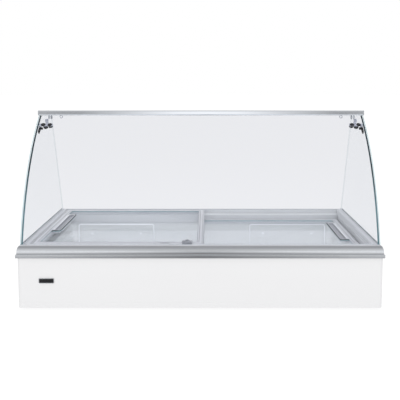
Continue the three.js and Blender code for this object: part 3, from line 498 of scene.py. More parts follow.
def rail(name, axis, edge, inward, section, ends, finish, cut=HALF):
    """A mitred length between two ends. cut is where the mitre at its far end stops."""
    outline = [(edge + inward * inset, z) for inset, z in section]
    shape = Shape().bar(outline, axis, lambda u: ends[0] + abs(u - edge) + MITRE,
                        lambda u: ends[1] - min(abs(u - edge), cut) - MITRE)
    shape.piece(name + "_extrusion", "rail_aluminium", [finish], [name], sharp=28)


rail("front_rail", "x", FRONT, 1, rail_section(FRONT_RAIL_IN - FRONT, FRONT_GROOVE), (-HALF, HALF), RAIL_X)
rail("back_rail", "x", BACK, -1, rail_section(BACK - BACK_RAIL_IN, BACK_GROOVE), (-HALF, HALF), RAIL_X)
for label, side in SIDES:
    rail(label + "_rail", "y", side * HALF, -side, rail_section(SIDE_RAIL, SIDE_GROOVE), (FRONT, BACK),
         RAIL_Y, BACK_CORNER)

# ---------------------------------------------------------------- guard glass


def guard_point(x, radius, angle):
    return (x, GUARD_Y - radius * math.cos(angle), GUARD_Z + radius * math.sin(angle))


def guard_angle(z, radius):
    return math.asin((z - GUARD_Z) / radius)


def guard_front():
    outer, inner = GUARD_RADIUS, GUARD_RADIUS - GLASS
    middle = (outer + inner) / 2
    low, high = guard_angle(GROOVE_FLOOR + 1, middle), guard_angle(670, middle)
    arris = 0.8
    section = [(-GLASS_HALF + arris, outer), (GLASS_HALF - arris, outer), (GLASS_HALF, outer - arris),
               (GLASS_HALF, inner + arris), (GLASS_HALF - arris, inner), (-GLASS_HALF + arris, inner),
               (-GLASS_HALF, inner + arris), (-GLASS_HALF, outer - arris)]
    steps = 72
    rings = [[guard_point(x, r, low + (high - low) * i / steps) for x, r in section]
             for i in range(steps + 1)]
    Shape().loft(rings, [0, 1, 1, 1, 0, 1, 1, 1], 1).piece(
        "curved_front_glass", "guard_glass", [GUARD_GLASS, GLASS_RIM], ["front_glass"], sharp=20)


def side_glass_outline(steps):
    """Depth and height round a side pane: down its curved front, then back and up its leaning end."""
    radius = GUARD_RADIUS - GLASS - 1
    bottom, top = GROOVE_FLOOR + 0.5, span("top_rail")[2][0] - 1.5
    low, high = guard_angle(bottom, radius), guard_angle(top, radius)
    points = [guard_point(0, radius, high + (low - high) * i / steps)[1:] for i in range(steps + 1)]
    back_bottom, back_top = BACK - 8, FRONT + 488
    points += [(back_bottom, bottom), (back_bottom, RAIL_TOP + 1)]
    lean = math.atan2(top - RAIL_TOP, back_bottom - back_top)
    corner = 26
    centre = (back_top - corner * math.tan(lean / 2), top - corner)
    return points + arc(centre, corner, 90 - math.degrees(lean), 90, 12)


guard_front()
for label, side in SIDES:
    front_steps = 48
    outline = side_glass_outline(front_steps)
    kinds = [1] * front_steps + [2] * (len(outline) - front_steps)
    Shape().slab(outline, "x", *mirrored(side, SIDE_GLASS_X, SIDE_GLASS_X + GLASS), 0.7, kinds).piece(
        label + "_side_pane", "guard_glass", [SIDE_PANE, GLASS_EDGE, CLEAR_EDGE],
        [label + "_side_glass"], sharp=25)

# ---------------------------------------------------------------- guard trim and seals


def guard_inset(z, radius):
    """How far behind the frame's front face the guard's cylinder stands at a height."""
    return GUARD_Y - math.sqrt(radius ** 2 - (z - GUARD_Z) ** 2) - FRONT


def glass_seals():
    low, gap = GROOVE_FLOOR + 1.5, 0.25
    near, far = FRONT_GROOVE
    outer = [(near + gap, low), (near + gap, RAIL_TOP + 0.2), (near + 1.2, RAIL_TOP + 0.9)]
    outer += [(guard_inset(z, GUARD_RADIUS) - gap, z) for z in (RAIL_TOP + 1, RAIL_TOP, low)]
    # a thin grey strip lying on the rail's rounded top, a painted dark reflection of the roll
    strip = [roll_point(d, 0.15) for d in (84, 78, 68, 58, 48)]
    strip += [roll_point(d, 1.0) for d in (49, 58, 68, 78, 84)]
    inner = [(guard_inset(z, GUARD_RADIUS - GLASS) + gap, z) for z in (low, RAIL_TOP, RAIL_TOP + 0.9)]
    inner += [(far + 1.4, RAIL_TOP + 0.9), (far + 1.2, RAIL_TOP + 0.3), (far - gap, RAIL_TOP + 0.2),
              (far - gap, low)]
    reach = GLASS_HALF + 0.6
    for name, section, finish in (("front_seal_outer", outer, CLEAR_SEAL), ("rail_painted_reflection_strip", strip, PAINTED_REFLECTION_GREY),
                                  ("front_seal_inner", inner, CLEAR_SEAL)):
        Shape().bar([(FRONT + inset, z) for inset, z in section], "x", -reach, reach).piece(
            name, "rubber", [finish])
    profile = [(0.1, low), (0.45, low), (0.45, RAIL_TOP + 0.3), (2.2, RAIL_TOP + 0.6),
               (2.0, RAIL_TOP + 1.6), (0.4, RAIL_TOP + 2.8), (0.1, RAIL_TOP + 2.8)]
    for label, side in SIDES:
        shape = Shape()
        for face, turn in ((SIDE_GLASS_X + GLASS, 1), (SIDE_GLASS_X, -1)):
            section = [(side * (face + turn * out), z) for out, z in profile]
            shape.bar(section, "y", FRONT + 27, BACK - 9)
        shape.piece(label + "_side_seal", "rubber", [CLEAR_SEAL], soften=0.2)


glass_seals()

TOP_X, TOP_Y, TOP_Z = span("top_rail")


def top_rail_section(slotted):
    """Outline in (y, z): a rounded bar with a fine groove along its front and a slot for the glass."""
    (y0, y1), (z0, z1) = TOP_Y, TOP_Z
    points = [(y0, z1 - 2.9)] + arc((y0 + 2.5, z1 - 2.5), 2.5, 180, 90, 8)
    points += arc((y1 - 5, z1 - 5), 5, 90, 0, 8) + arc((y1 - 2, z0 + 2), 2, 0, -90, 4)
    if slotted:
        for radius, heights in ((GUARD_RADIUS - GLASS - 0.4, (z0, 667, 671)),
                                (GUARD_RADIUS + 0.4, (673.4, 669, z0))):
            points += [(FRONT + guard_inset(z, radius), z) for z in heights]
    points += arc((y0 + 2, z0 + 2), 2, -90, -180, 4)
    points += [(y0, z0 + 3.2), (y0 + 0.7, z0 + 3.6), (y0 + 0.7, z0 + 4.4), (y0, z0 + 4.8), (y0, z0 + 5.2)]
    return points


CAP = 2.2
Shape().bar(top_rail_section(True), "x", TOP_X[0] + CAP + 0.1, TOP_X[1] - CAP - 0.1).piece(
    "top_rail_bar", "rail_aluminium", [POLISHED], ["top_rail"], sharp=28)
for label, side in SIDES:
    Shape().slab(top_rail_section(False), "x", *mirrored(side, TOP_X[1] - CAP, TOP_X[1]), 0.5).piece(
        label + "_top_rail_cap", "rail_aluminium", [END_CAP], sharp=28)

# ---------------------------------------------------------------- corner clamps and studs

CLAMP_Z = 630
clamp_angle = guard_angle(CLAMP_Z, GUARD_RADIUS - GLASS)
CLAMP_FRAME = (Matrix.Translation(guard_point(0, GUARD_RADIUS - GLASS, clamp_angle))
               @ Matrix.Rotation(-clamp_angle, 4, "X"))


def clamp(label, side):
    """A bracket between the front and side glass, in a frame whose Y is the glass's normal."""
    face = SIDE_GLASS_X - 0.3
    at = {"at": CLAMP_FRAME}
    shape = Shape()
    shape.pad(mirrored(side, face - 52, face), (-7, 7), 4, "y", (0.9, 3.6), 0.8, **at)
    shape.pad((3.7, 28), (-7, 7), 4, "x", mirrored(side, face - 3.0, face), 0.8, **at)
    arm = [(-38, 6), (-27, 6), (-19, 20), (-17, 33), (-20, 36), (-27, 36), (-30, 32), (-29, 24)]
    shape.slab([(side * (face + u), v) for u, v in arm], "y", 3.7, 7.2, 0.9, **at)
    dome = [(0, 0), (6, 0), (6, 2.6), (5.4, 4.0), (4, 4.8), (2, 5.2), (0, 5.2)]
    shape.lathe([(r, -side * h) for r, h in dome], (side * (face - 3.1), 19, 0), "x", **at)
    shape.lathe([(r, 7.1 + h) for r, h in dome], (side * (face - 23), 0, 28), "y", **at)
    shape.piece(label + "_clamp_body", "chrome", [CLAMP_METAL], [label + "_clamp_bracket"])
    pads = Shape()
    for u, radius in ((-16, 8.6), (-41, 8.4)):
        pads.lathe(disc(radius, 0.1, 0.8), (side * (face + u), 0, 0), "y", kind=1, **at)
    boss = [(0, 3.7), (7.6, 3.7), (8.4, 4.4), (8.6, 9.6), (7.6, 11.6), (5, 12.6), (3.2, 12.6), (3.0, 11.4),
            (0, 11.4)]
    pads.lathe(boss, (side * (face - 43), 0, 0), "y", kind=1, **at)
    pads.pad((4.8, 18), (-33, -9), 2, "x", mirrored(side, face - 5, face - 0.2), 0.8, 1, **at)
    pads.pad((4.8, 14), (-15, -9), 2, "x", mirrored(side, face - 15, face - 5.1), 0.8, 1, **at)
    pads.piece(label + "_clamp_pad", "rubber", [CLEAR_SEAL, RUBBER])
    grip = [(7.2, 7.2, 0.0), (8.2, 7.4, 0.5), (8.9, 8.6, 0.6), (8.9, 14.4, 0.6), (8.2, 16.0, 0.5),
            (6.6, 16.8, 0.1), (4.2, 17.0, 0.0), (3.6, 16.4, 0.0)]
    centre = (side * (SIDE_GLASS_X - 24), 0, 0)
    knob = Shape().lathe(grip, centre, "y", 96, lobes=12, **at)
    knob.lathe([(0, 16.5), (2.8, 16.5), (2.4, 17.1), (0, 17.2)], centre, "y", 24, 1, **at)
    knob.lathe(disc(4.6, 3.9, 7.1), centre, "y", 32, 1, **at)
    knob.piece(label + "_ribbed_knob", "knob_plastic", [KNOB, CHROME], [label + "_clamp_knob"],
               label + "_knob")


def stud(label, side):
    _, ys, zs = span(label + "_glass_stud")
    centre = (side * SIDE_GLASS_X, sum(ys) / 2, sum(zs) / 2)
    shape = Shape()
    inner = [(0, -1.1), (8.8, -1.1), (9, -2.4), (8.2, -4.2), (6.2, -5.6), (3.2, -6.2), (2.6, -5.4),
             (0, -5.4)]
    outer = [(0, 7.0), (8.8, 7.0), (9, 8), (8, 9.4), (5, 10.2), (0, 10.4)]
    for profile, kind in ((inner, 0), (disc(9.4, -1.0, -0.3), 1), (outer, 0), (disc(9.4, 6.2, 6.9), 1)):
        shape.lathe([(r, side * h) for r, h in profile], centre, "x", kind=kind)
    shape.piece(label + "_stud_caps", "chrome", [CHROME, CLEAR_SEAL], [label + "_glass_stud"])


for label, side in SIDES:
    clamp(label, side)
    stud(label, side)
    Shape().hoop((side * 545, TOP_Y[1] - 9, TOP_Z[0] - 6.4), "y", 5.2, 1.1).piece(
        label + "_rail_eye", "chrome", [CLAMP_METAL])

# ---------------------------------------------------------------- tracks

TRACK_LOW, TRACK_TOP = span("front_track")[2]
LEDGE = 3
LOWER_LEDGE = TRACK_LOW + LEDGE
UPPER_LEDGE = span("left_lid_frame")[2][0] - 0.3
EASE = 0.8
FRONT_TRACK, BACK_TRACK = span("front_track")[1], span("back_track")[1]
LID_Y = span("right_lid_frame")[1]


def ledge_grooves(near, far, z):
    """Points along a ledge from near to far with two shallow running grooves."""
    step = (far - near) / 5
    slope = math.copysign(0.5, step)
    points = []
    for k in (1, 3):
        a, b = near + step * k, near + step * (k + 1)
        points += [(a, z), (a + slope, z - EASE), (b - slope, z - EASE), (b, z)]
    return points


def track(name, wall, upper, lower, edge, inward):
    """A stepped channel for the two lids. Its places are insets from the frame's edge."""
    inside = wall + LEDGE
    points = [(wall, TRACK_LOW), (lower, TRACK_LOW), (lower, LOWER_LEDGE - EASE),
              (lower - EASE, LOWER_LEDGE)]
    points += ledge_grooves(lower - 1, upper + 1, LOWER_LEDGE)
    points += [(upper, LOWER_LEDGE), (upper, UPPER_LEDGE - EASE), (upper - EASE, UPPER_LEDGE)]
    points += ledge_grooves(upper - 1, inside + 1, UPPER_LEDGE)
    points += [(inside, UPPER_LEDGE), (inside, TRACK_TOP - EASE), (inside - EASE, TRACK_TOP),
               (wall + EASE, TRACK_TOP), (wall, TRACK_TOP - EASE)]
    Shape().bar([(edge + inward * inset, z) for inset, z in points], "x", *span(name)[0]).piece(
        name + "_channel", "track_plastic", [TRACK], [name], sharp=25)


track("front_track", FRONT_TRACK[0] - FRONT, LID_Y[0] - 1 - FRONT, FRONT_TRACK[1] - FRONT, FRONT, 1)
track("back_track", BACK - BACK_TRACK[1], BACK - LID_Y[1] - 1, BACK - BACK_TRACK[0], BACK, -1)

for label, side in SIDES:
    x0, x1 = span("right_end_trim")[0]
    face = x1 - LEDGE
    wall = [(face, TRACK_LOW), (x1, TRACK_LOW), (x1, TRACK_TOP - EASE), (x1 - EASE, TRACK_TOP),
            (face + EASE, TRACK_TOP), (face, TRACK_TOP - EASE), (face, UPPER_LEDGE + 8),
            (face + EASE, UPPER_LEDGE + 7.4), (face + EASE, UPPER_LEDGE + 6.4), (face, UPPER_LEDGE + 5.8),
            (face, UPPER_LEDGE - 1.2), (face - 1.6, UPPER_LEDGE - 1.6), (face - 1.6, UPPER_LEDGE - 3.2),
            (face, UPPER_LEDGE - 3.7)]
    shape = Shape().bar([(side * x, z) for x, z in wall], "y", FRONT_TRACK[0] + 0.1, BACK_TRACK[1] - 0.1)
    step = [(x0, TRACK_LOW), (face - 0.1, TRACK_LOW), (face - 0.1, LOWER_LEDGE)]
    step += ledge_grooves(face - 2, x0 + 3, LOWER_LEDGE)
    step += [(x0 + EASE, LOWER_LEDGE), (x0, LOWER_LEDGE - EASE)]
    shape.bar([(side * x, z) for x, z in step], "y", FRONT_TRACK[1] + 0.3, BACK_TRACK[0] - 0.3, 1)
    shape.piece(label + "_end_moulding", "track_plastic", [TRACK, THROAT], [label + "_end_trim"], sharp=25)

# ---------------------------------------------------------------- sliding lids


def swept_frame(xs, ys, bars, profile, corners, kinds):
    """A frame with one section swept round it. Section points hang on its outer or inner edge."""
    side_bar, front_bar, back_bar = bars
    outer_radius, inner_radius = corners
    rings = []
    for cx, cy, start in ((1, 0, -90), (1, 1, 0), (0, 1, 90), (0, 0, 180)):
        sx, sy = (1 if cx else -1), (1 if cy else -1)
        depth = back_bar if cy else front_bar
        for a in (math.radians(start + 90 * k / 8) for k in range(9)):
            ring = []
            for edge, offset, z in profile:
                if edge == "outer":
                    radius = max(outer_radius - offset, 0.02)
                    inset = offset + radius
                    px, py = xs[cx] - sx * inset, ys[cy] - sy * inset
                else:
                    radius = inner_radius + offset
                    px = xs[cx] - sx * (side_bar + inner_radius)
                    py = ys[cy] - sy * (depth + inner_radius)
                ring.append((px + radius * math.cos(a), py + radius * math.sin(a), z))
            rings.append(ring)
    return Shape().loft(rings, kinds, closed=True)


def ribbon(shape, path, width, z0, z1, kind=0):
    """A low ridged strip that follows a path of (x, y) points."""
    points = [Vector(p) for p in path]
    middle = (z0 + z1) / 2
    rings = []
    for i, point in enumerate(points):
        along = (points[min(i + 1, len(points) - 1)] - points[max(i - 1, 0)]).normalized()
        across = Vector((-along.y, along.x)) * (width / 2)
        a, b = point + across, point - across
        rings.append([(a.x, a.y, z0), (b.x, b.y, z0), (b.x, b.y, middle), (point.x, point.y, z1),
                      (a.x, a.y, middle)])
    return shape.loft(rings, kind)


def lid_frame(label, xs, ys, z0, z1, bars):
    lower = [(1, z0), (0.3, z0 + 0.3), (0, z0 + 1)]
    upper = [(0, z1 - 1), (0.3, z1 - 0.3), (1, z1)]
    profile = [("outer", *p) for p in lower + upper]
    profile += [("outer", 3.4, z1), ("outer", 3.8, z1 - 0.9), ("outer", 4.6, z1 - 0.9), ("outer", 5, z1),
                ("inner", 7, z1), ("inner", 6.4, z1 - 1.0), ("inner", 5.2, z1 - 1.0), ("inner", 4.6, z1)]
    profile += [("inner", *p) for p in reversed(lower + upper)]
    # the faces in the two grooves take SHADOW_LINE, a darker grey that paints the shade in them
    grooves = (6, 7, 8, 10, 11, 12)
    kinds = [1 if i in grooves else 0 for i in range(len(profile))]
    swept_frame(xs, ys, bars, profile, (5, 8), kinds).piece(
        label + "_lid_surround", "lid_plastic", [LID_PLASTIC, SHADOW_LINE], [label + "_lid_frame"],
        label + "_lid", sharp=25)


def lid_pane(label, side, glass, tray):
    """The pane and its seal, in u = side * x so that the finger pull is always on the +u side."""
    us = sorted(side * x for x in glass[0])
    vs, zs = glass[1:]
    notch_u = min(side * x for x in tray[0]) - 0.3
    notch_v = (tray[1][0] - 0.3, tray[1][1] + 0.3)
    corner, turn = 8, 7
    bend = 9.7
    notch = [(us[1], notch_v[0])] + arc((notch_u + bend, notch_v[0] + bend), bend, 270, 180, 6)
    notch += arc((notch_u + bend, notch_v[1] - bend), bend, 180, 90, 6) + [(us[1], notch_v[1])]
    edge = rounded(us, vs, corner, turn - 1)
    outline = [(side * u, v) for u, v in edge[:turn] + notch + edge[turn:]]
    Shape().slab(outline, "z", *zs, 0.5, 1).piece(
        label + "_lid_pane", "lid_glass", [LID_GLASS, LID_GLASS_EDGE], [label + "_lid_glass"],
        label + "_lid", sharp=25)
    # the seal follows the frame's opening from one end of the finger pull round to the other
    o = 1.3
    edge = rounded((us[0] + o, us[1] - o), (vs[0] + o, vs[1] - o), corner - o, turn - 1)
    path = [(us[1] - o, notch_v[1] + 1.5)] + edge[turn:] + edge[:turn] + [(us[1] - o, notch_v[0] - 1.5)]
    seal = ribbon(Shape(), [(side * u, v) for u, v in path], 1.8, zs[1] + 0.05, zs[1] + 1.5)
    centre_u = notch_u + 8.6
    path = [(us[1] - 0.6, notch_v[1] + 1.4)] + arc((centre_u, notch_v[1] - 8.6), 10, 90, 180, 6)
    path += arc((centre_u, notch_v[0] + 8.6), 10, 180, 270, 6) + [(us[1] - 0.6, notch_v[0] - 1.4)]
    ribbon(seal, [(side * u, v) for u, v in path], 2.6, zs[1] + 0.05, zs[1] + 1.9, 1)
    seal.piece(label + "_lid_seal", "rubber", [LID_SEAL, RUBBER], body=label + "_lid")


def finger_pull(label, side, tray, top):
    """A broad rim on the frame's side, a scooped recess on the other, and ribs across its floor. The recess
    and its ribs are a darker grey as painted shade.
    """
    xs, ys, (z0, _) = tray
    flat = 5
    # the recess faces take the darker grey as painted shade, the lip takes near-white as a painted
    # highlight
    rim, recess, lip = 0, 1, 2
    levels = ((1, 0, z0, 9, rim), (0, 0, z0 + 1, 10, rim), (0, 0, top - 0.7, 10, rim),
              (0.2, 0, top - 0.2, 9.8, rim), (0.7, 0, top, 9.3, rim), (2.0, flat, top, 8, lip),
              (3.4, flat + 0.4, top - 1.0, 7, recess), (4.0, flat + 0.8, top - 6, 6.6, recess),
              (5.0, flat + 1, z0 + 3.4, 6, recess), (6.6, flat + 1, z0 + 2.6, 5, recess))
    rings = []
    for inset, broad, z, corner, _ in levels:
        x0 = xs[0] + inset + (broad if side < 0 else 0)
        x1 = xs[1] - inset - (broad if side > 0 else 0)
        outline = rounded((x0, x1), (ys[0] + inset + broad / 3, ys[1] - inset), corner)
        rings.append([(u, v, z) for u, v in outline])
    shape = Shape().loft(rings)
    shape.kinds = [row[4] for row in levels[:-1] for _ in rings[0]] + [rim, recess]
    middle = sum(xs) / 2 - side * flat / 2
    ribs = 13
    for k in range(ribs):
        y = sum(ys) / 2 + (k - (ribs - 1) / 2) * 18
        shape.pad(about(middle, 4), about(y, 1.2), 1.1, "z", (z0 + 2.65, z0 + 3.9), 0.4, 1, steps=4)
    shape.piece(label + "_finger_pull", "lid_plastic", [LID_PLASTIC, PULL_RECESS_SHADE, PULL_LIP_HIGHLIGHT],
                [label + "_lid_handle"], label + "_lid", sharp=30)


for label, side in SIDES:
    xs, ys, (z0, z1) = span(label + "_lid_frame")
    tray, glass = span(label + "_lid_handle"), span(label + "_lid_glass")
    lid_frame(label, xs, ys, z0, z1, (glass[0][0] - 0.3 - xs[0], glass[1][0] - 0.3 - ys[0],
                                      ys[1] - glass[1][1] - 0.3))
    lid_pane(label, side, glass, tray)
    finger_pull(label, side, tray, z1)
    stops = Shape()
    outer = max(xs, key=abs)
    for y in (ys[0] + 60, ys[1] - 60):
        stops.pad(about(y, 9), (z0 + 4, z0 + 11), 3, "x", sorted((outer, outer + side * 1.9)), 0.6)
    stops.piece(label + "_lid_stops", "rubber", [RUBBER], body=label + "_lid")

# ---------------------------------------------------------------- lock on the left lid

LOCK_XS, LOCK_YS, (LOCK_Z0, LOCK_Z1) = span("lock_body")
LOCK = (sum(LOCK_XS) / 2, sum(LOCK_YS) / 2)


def lock_housing():
    outline = []
    corner = rounded(LOCK_XS, LOCK_YS, 5)
    for i, point in enumerate(corner):
        start, end = Vector(point), Vector(corner[(i + 1) % len(corner)])
        pieces = max(1, round((end - start).length / 2.5))
        outline += [tuple(start.lerp(end, k / pieces)) for k in range(pieces)]
    rings = stacked(outline, "z", ((0.6, LOCK_Z0), (0, LOCK_Z0 + 0.6), (0, LOCK_Z0 + 2.2),
                                   (0.8, LOCK_Z0 + 2.6), (1.1, LOCK_Z1 - 1.6), (1.5, LOCK_Z1 - 0.6),
                                   (2.3, LOCK_Z1)))
    angles = [math.atan2(v - LOCK[1], u - LOCK[0]) for u, v in outline]
    for radius, z in ((8.0, LOCK_Z1), (7.4, LOCK_Z1 - 0.5), (7.4, LOCK_Z0)):
        rings.append([(LOCK[0] + radius * math.cos(a), LOCK[1] + radius * math.sin(a), z) for a in angles])
    Shape().loft(rings, closed=True).piece("lock_housing", "lock_metal", [LOCK_METAL], ["lock_body"],
                                           "left_lid", sharp=30)


def lock_barrel():
    """A round face with a key slot cut down into it."""
    steps = 48
    rings = [[(u, v, LOCK_Z0 + h) for u, v in circle(radius, steps, LOCK, phase=0.5)]
             for radius, h in ((6.6, 0), (7, 0.4), (7, 9.3), (8.4, 9.3), (8.6, 9.6), (8.6, 10.8),
                               (8.2, 11.3), (7.4, 11.6), (6.2, 11.6), (5.9, 11.3), (5.2, 11.3))]
    half_long, half_wide = 4, 0.9
    for h in (11.3, 7.5):
        rings.append([(LOCK[0] + max(-half_long, min(half_long, u)),
                       LOCK[1] + math.copysign(half_wide, v), LOCK_Z0 + h)
                      for u, v in circle(8.6, steps, phase=0.5)])
    Shape().loft(rings).piece("lock_barrel_face", "chrome", [CHROME], ["lock_cylinder"], "lock_barrel",
                              sharp=30, merge=True)


lock_housing()
lock_barrel()
Shape().pad((-142, -112), about(LOCK[1], 4), 3.5, "z", (LOCK_Z0 - 0.2, LOCK_Z0 + 1.6), 0.6).piece(
    "lock_strike_mark", "lock_metal", [LOCK_METAL], body="left_lid")

# ---------------------------------------------------------------- tank

THROAT_LOW, THROAT_TOP = span("throat_collar")[2]
SHEET = 1.5
LINER_X, LINER_Y, LINER_Z = span("tank_liner")
TANK_X = (LINER_X[0] + SHEET, LINER_X[1] - SHEET)
TANK_Y = (LINER_Y[0] + SHEET, LINER_Y[1] - SHEET)
TANK_CORNER = 24


def tank_rings(*steps):
    """Rings round the tank's opening: steps are (outset, height) pairs."""
    return [[(u, v, z) for u, v in rounded((TANK_X[0] - out, TANK_X[1] + out),
                                           (TANK_Y[0] - out, TANK_Y[1] + out), TANK_CORNER + out, 10)]
            for out, z in steps]


def tank():
    low, high = LINER_Z
    bend = 14
    rings = tank_rings((SHEET - bend, low), (SHEET - 4, low + 4), (SHEET, low + bend), (SHEET, high),
                       (0, high), (0, low + SHEET + bend))
    rings += tank_rings(*((-(bend + SHEET) * (1 - math.cos(a)), low + SHEET + bend - bend * math.sin(a))
                          for a in (math.radians(d) for d in range(15, 91, 15))))
    Shape().loft(rings).piece("tank_tub", "liner", [LINER], ["tank_liner"], sharp=30)
    low, high = THROAT_LOW, THROAT_TOP
    rings = tank_rings((4, low), (4, high - 2.4), (22, high - 2.4), (22, high), (1.2, high),
                       (0.4, high - 0.4), (0, high - 1.2), (0, low + 9), (-0.6, low + 8.6),
                       (-0.6, low + 7.4), (0, low + 7), (0, low))
    Shape().loft(rings, closed=True).piece("throat_ring", "throat_plastic", [THROAT], ["throat_collar"],
                                           sharp=30)


tank()
for label, side in SIDES:
    xs, (y0, y1), zs = span(label + "_tub_guard")
    radius = (y1 - y0) / 2
    loop = rounded((xs[0] + radius, xs[1] - radius), (zs[0] + radius, zs[1] - radius), 9)
    shape = Shape().tube([(u, y0 + radius, v) for u, v in loop], radius, 16, closed=True)
    for x in (xs[0] + 60, xs[1] - 60):
        for z in (zs[0] + radius, THROAT_LOW - 12):
            shape.pad(about(x, 5), about(z, 4), 2, "y", (y1 + 0.1, TANK_Y[1] - 0.3), 0.5)
    shape.piece(label + "_tub_rail", "wire_white", [WIRE], [label + "_tub_guard"], sharp=40)

# ---------------------------------------------------------------- white panels and plate

PANEL_CORNER = 12


def front_panel():
    (x0, x1), (y0, y1), zs = span("front_panel")
    left, right = (x0 + PANEL_CORNER, y0 + PANEL_CORNER), (x1 - PANEL_CORNER, y0 + PANEL_CORNER)
    inside = PANEL_CORNER - SHEET
    outline = [(x0, y1)] + arc(left, PANEL_CORNER, 180, 270, 12) + arc(right, PANEL_CORNER, 270, 360, 12)
    outline += [(x1, y1), (x1 - SHEET, y1)] + arc(right, inside, 360, 270, 12)
    outline += arc(left, inside, 270, 180, 12) + [(x0 + SHEET, y1)]
    Shape().bar(outline, "z", *zs).piece("front_skin", "white_paint", [PAINT], ["front_panel"], sharp=30)


def rectangle(us, vs):
    return [(us[0], vs[0]), (us[1], vs[0]), (us[1], vs[1]), (us[0], vs[1])]


front_panel()
for label, side in SIDES:
    xs, ys, zs = span(label + "_side_panel")
    Shape().slab(rectangle(ys, zs), "x", *xs, 0.4).piece(
        label + "_side_skin", "white_paint", [PAINT], [label + "_side_panel"])

xs, ys, zs = span("badge_plate")
plate = Shape().pad(xs, zs, 2.5, "y", ys, 0.5)
plate.pad((xs[0] + 2, xs[1] - 2), (zs[0] + 2, zs[1] - 2), 1.4, "y", (ys[0] - 0.35, ys[0] - 0.02), 0.15, 1)
plate.piece("blank_badge", "badge", [CHROME, BADGE], ["badge_plate"])

# ---------------------------------------------------------------- machine cover

COVER_X, COVER_Y, COVER_Z = span("machine_cover")
COVER_BACK = COVER_Y[1]
THROUGH = (COVER_BACK - 5, COVER_BACK + 5)
CONTROL_X, _, CONTROL_Z = span("control_box")
LOUVRE = {"pitch": 18, "height": 7, "rear_x": -306, "rear_z": 36, "width": 64, "step": 76, "side_z": 54}
SIDE_LOUVRES = [LOUVRE["side_z"] + LOUVRE["pitch"] * row for row in range(5)]


def carve(obj, cutter_shape):
    """Cuts a shape out of an object's mesh and leaves the result as its mesh."""
    cutter = cutter_shape.piece(obj.name + "_cutter", "white_paint", [obj.data.materials[0]])
    boolean = obj.modifiers.new("openings", "BOOLEAN")
    boolean.object = cutter
    boolean.operation = "DIFFERENCE"
    boolean.solver = "EXACT"
    bpy.context.view_layer.update()
    result = bpy.data.meshes.new_from_object(obj.evaluated_get(bpy.context.evaluated_depsgraph_get()))
    obj.modifiers.remove(boolean)
    obj.data = result
    bpy.data.objects.remove(cutter)


def cover_outline(inset, front):
    x0, x1, y1 = COVER_X[0] + inset, COVER_X[1] - inset, COVER_BACK - inset
    radius = PANEL_CORNER - inset
    return ([(x0, front), (x1, front)] + arc((x1 - radius, y1 - radius), radius, 0, 90, 12)
            + arc((x0 + radius, y1 - radius), radius, 90, 180, 12))


def rear_louvres():
    return [(LOUVRE["rear_x"] + LOUVRE["step"] * column, LOUVRE["rear_z"] + LOUVRE["pitch"] * row)
            for column in range(4) for row in range(6)]


def machine_cover():
    shape = Shape()
    low, high = COVER_Z
    shape.loft([[(u, v, z) for u, v in cover_outline(inset, COVER_Y[0])]
                for inset, z in ((0, low), (0, high - 1.2), (0.35, high - 0.35), (1.2, high))])
    cover = shape.piece("cover_shell", "white_paint", [PAINT], ["machine_cover"], sharp=30)
    carve(cover, Shape().bar(cover_outline(SHEET, COVER_Y[0] - 20), "z", -10, high - SHEET))
    holes = Shape()
    for x, z in rear_louvres():
        holes.pad((x, x + LOUVRE["width"]), (z, z + LOUVRE["height"]), 2, "y", THROUGH, 0.2, steps=4)
    for z in SIDE_LOUVRES:
        for x in COVER_X:
            holes.pad((BACK + 35, BACK + 105), (z, z + LOUVRE["height"]), 2, "x", about(x, 5), 0.2, steps=4)
    inlet_x, _, inlet_z = span("power_inlet")
    drain_x, _, drain_z = span("drain_spout")
    for xs, zs, spare in ((CONTROL_X, CONTROL_Z, 0.3), (inlet_x, inlet_z, -3.7)):
        holes.bar(rectangle((xs[0] - spare, xs[1] + spare), THROUGH), "z", zs[0] - spare, zs[1] + spare)
    holes.lathe(disc(11.3, -5, 5), (sum(drain_x) / 2, COVER_BACK, sum(drain_z) / 2), "y")
    carve(cover, holes)
    smooth(cover.data, 30)


machine_cover()


def louvre_hood(shape, place, length, z0, depth):
    """A pressed hood over a slot. place turns (along, out, height) into a point."""
    height = LOUVRE["height"]
    ramp_share, steps = 0.12, 14
    rings = []
    for t in (i / steps for i in range(steps + 1)):
        from_end = min(t, 1 - t)
        rise = math.sin(math.pi / 2 * from_end / ramp_share) if from_end < ramp_share else 1.0
        deep = depth * max(0.06, rise)
        quarter = [math.radians(d) for d in range(0, 91, 15)]
        outer = [(deep * math.sin(a) + 0.05, z0 + 1.2 + height * math.cos(a)) for a in quarter]
        inner = [(max(deep - 1, deep * 0.4) * math.sin(a) + 0.02, z0 + 1.2 + (height - 1) * math.cos(a))
                 for a in reversed(quarter)]
        rings.append([place(length * t, out, z) for out, z in outer + inner])
    shape.loft(rings)


hoods = Shape()
for x, z in rear_louvres():
    louvre_hood(hoods, lambda t, out, h, x=x: (x + t, COVER_BACK + out, h), LOUVRE["width"], z, 4.2)
for label, side in SIDES:
    for z in SIDE_LOUVRES:
        louvre_hood(hoods, lambda t, out, h: (side * (COVER_X[1] + out), BACK + 35 + t, h), 70, z, 3.6)
hoods.piece("louvre_hoods", "white_paint", [PAINT], sharp=40)


def screw(shape, place, radius=4.2):
    """A button-head screw with a hexagon socket. place turns (u, v, out) into a point."""
    sides = 36
    rings = [[place(u, v, out) for u, v in circle(radius * share, sides)]
             for share, out in ((1, 0.05), (1, 0.5), (0.9, 1.3), (0.66, 1.9), (0.56, 2.0))]
    angles = [2 * math.pi * k / sides for k in range(sides)]
    for out in (2.0, 0.9):
        reach = [radius * 0.42 / math.cos(a % (math.pi / 3) - math.pi / 6) for a in angles]
        rings.append([place(r * math.cos(a), r * math.sin(a), out) for r, a in zip(reach, angles)])
    shape.loft(rings)


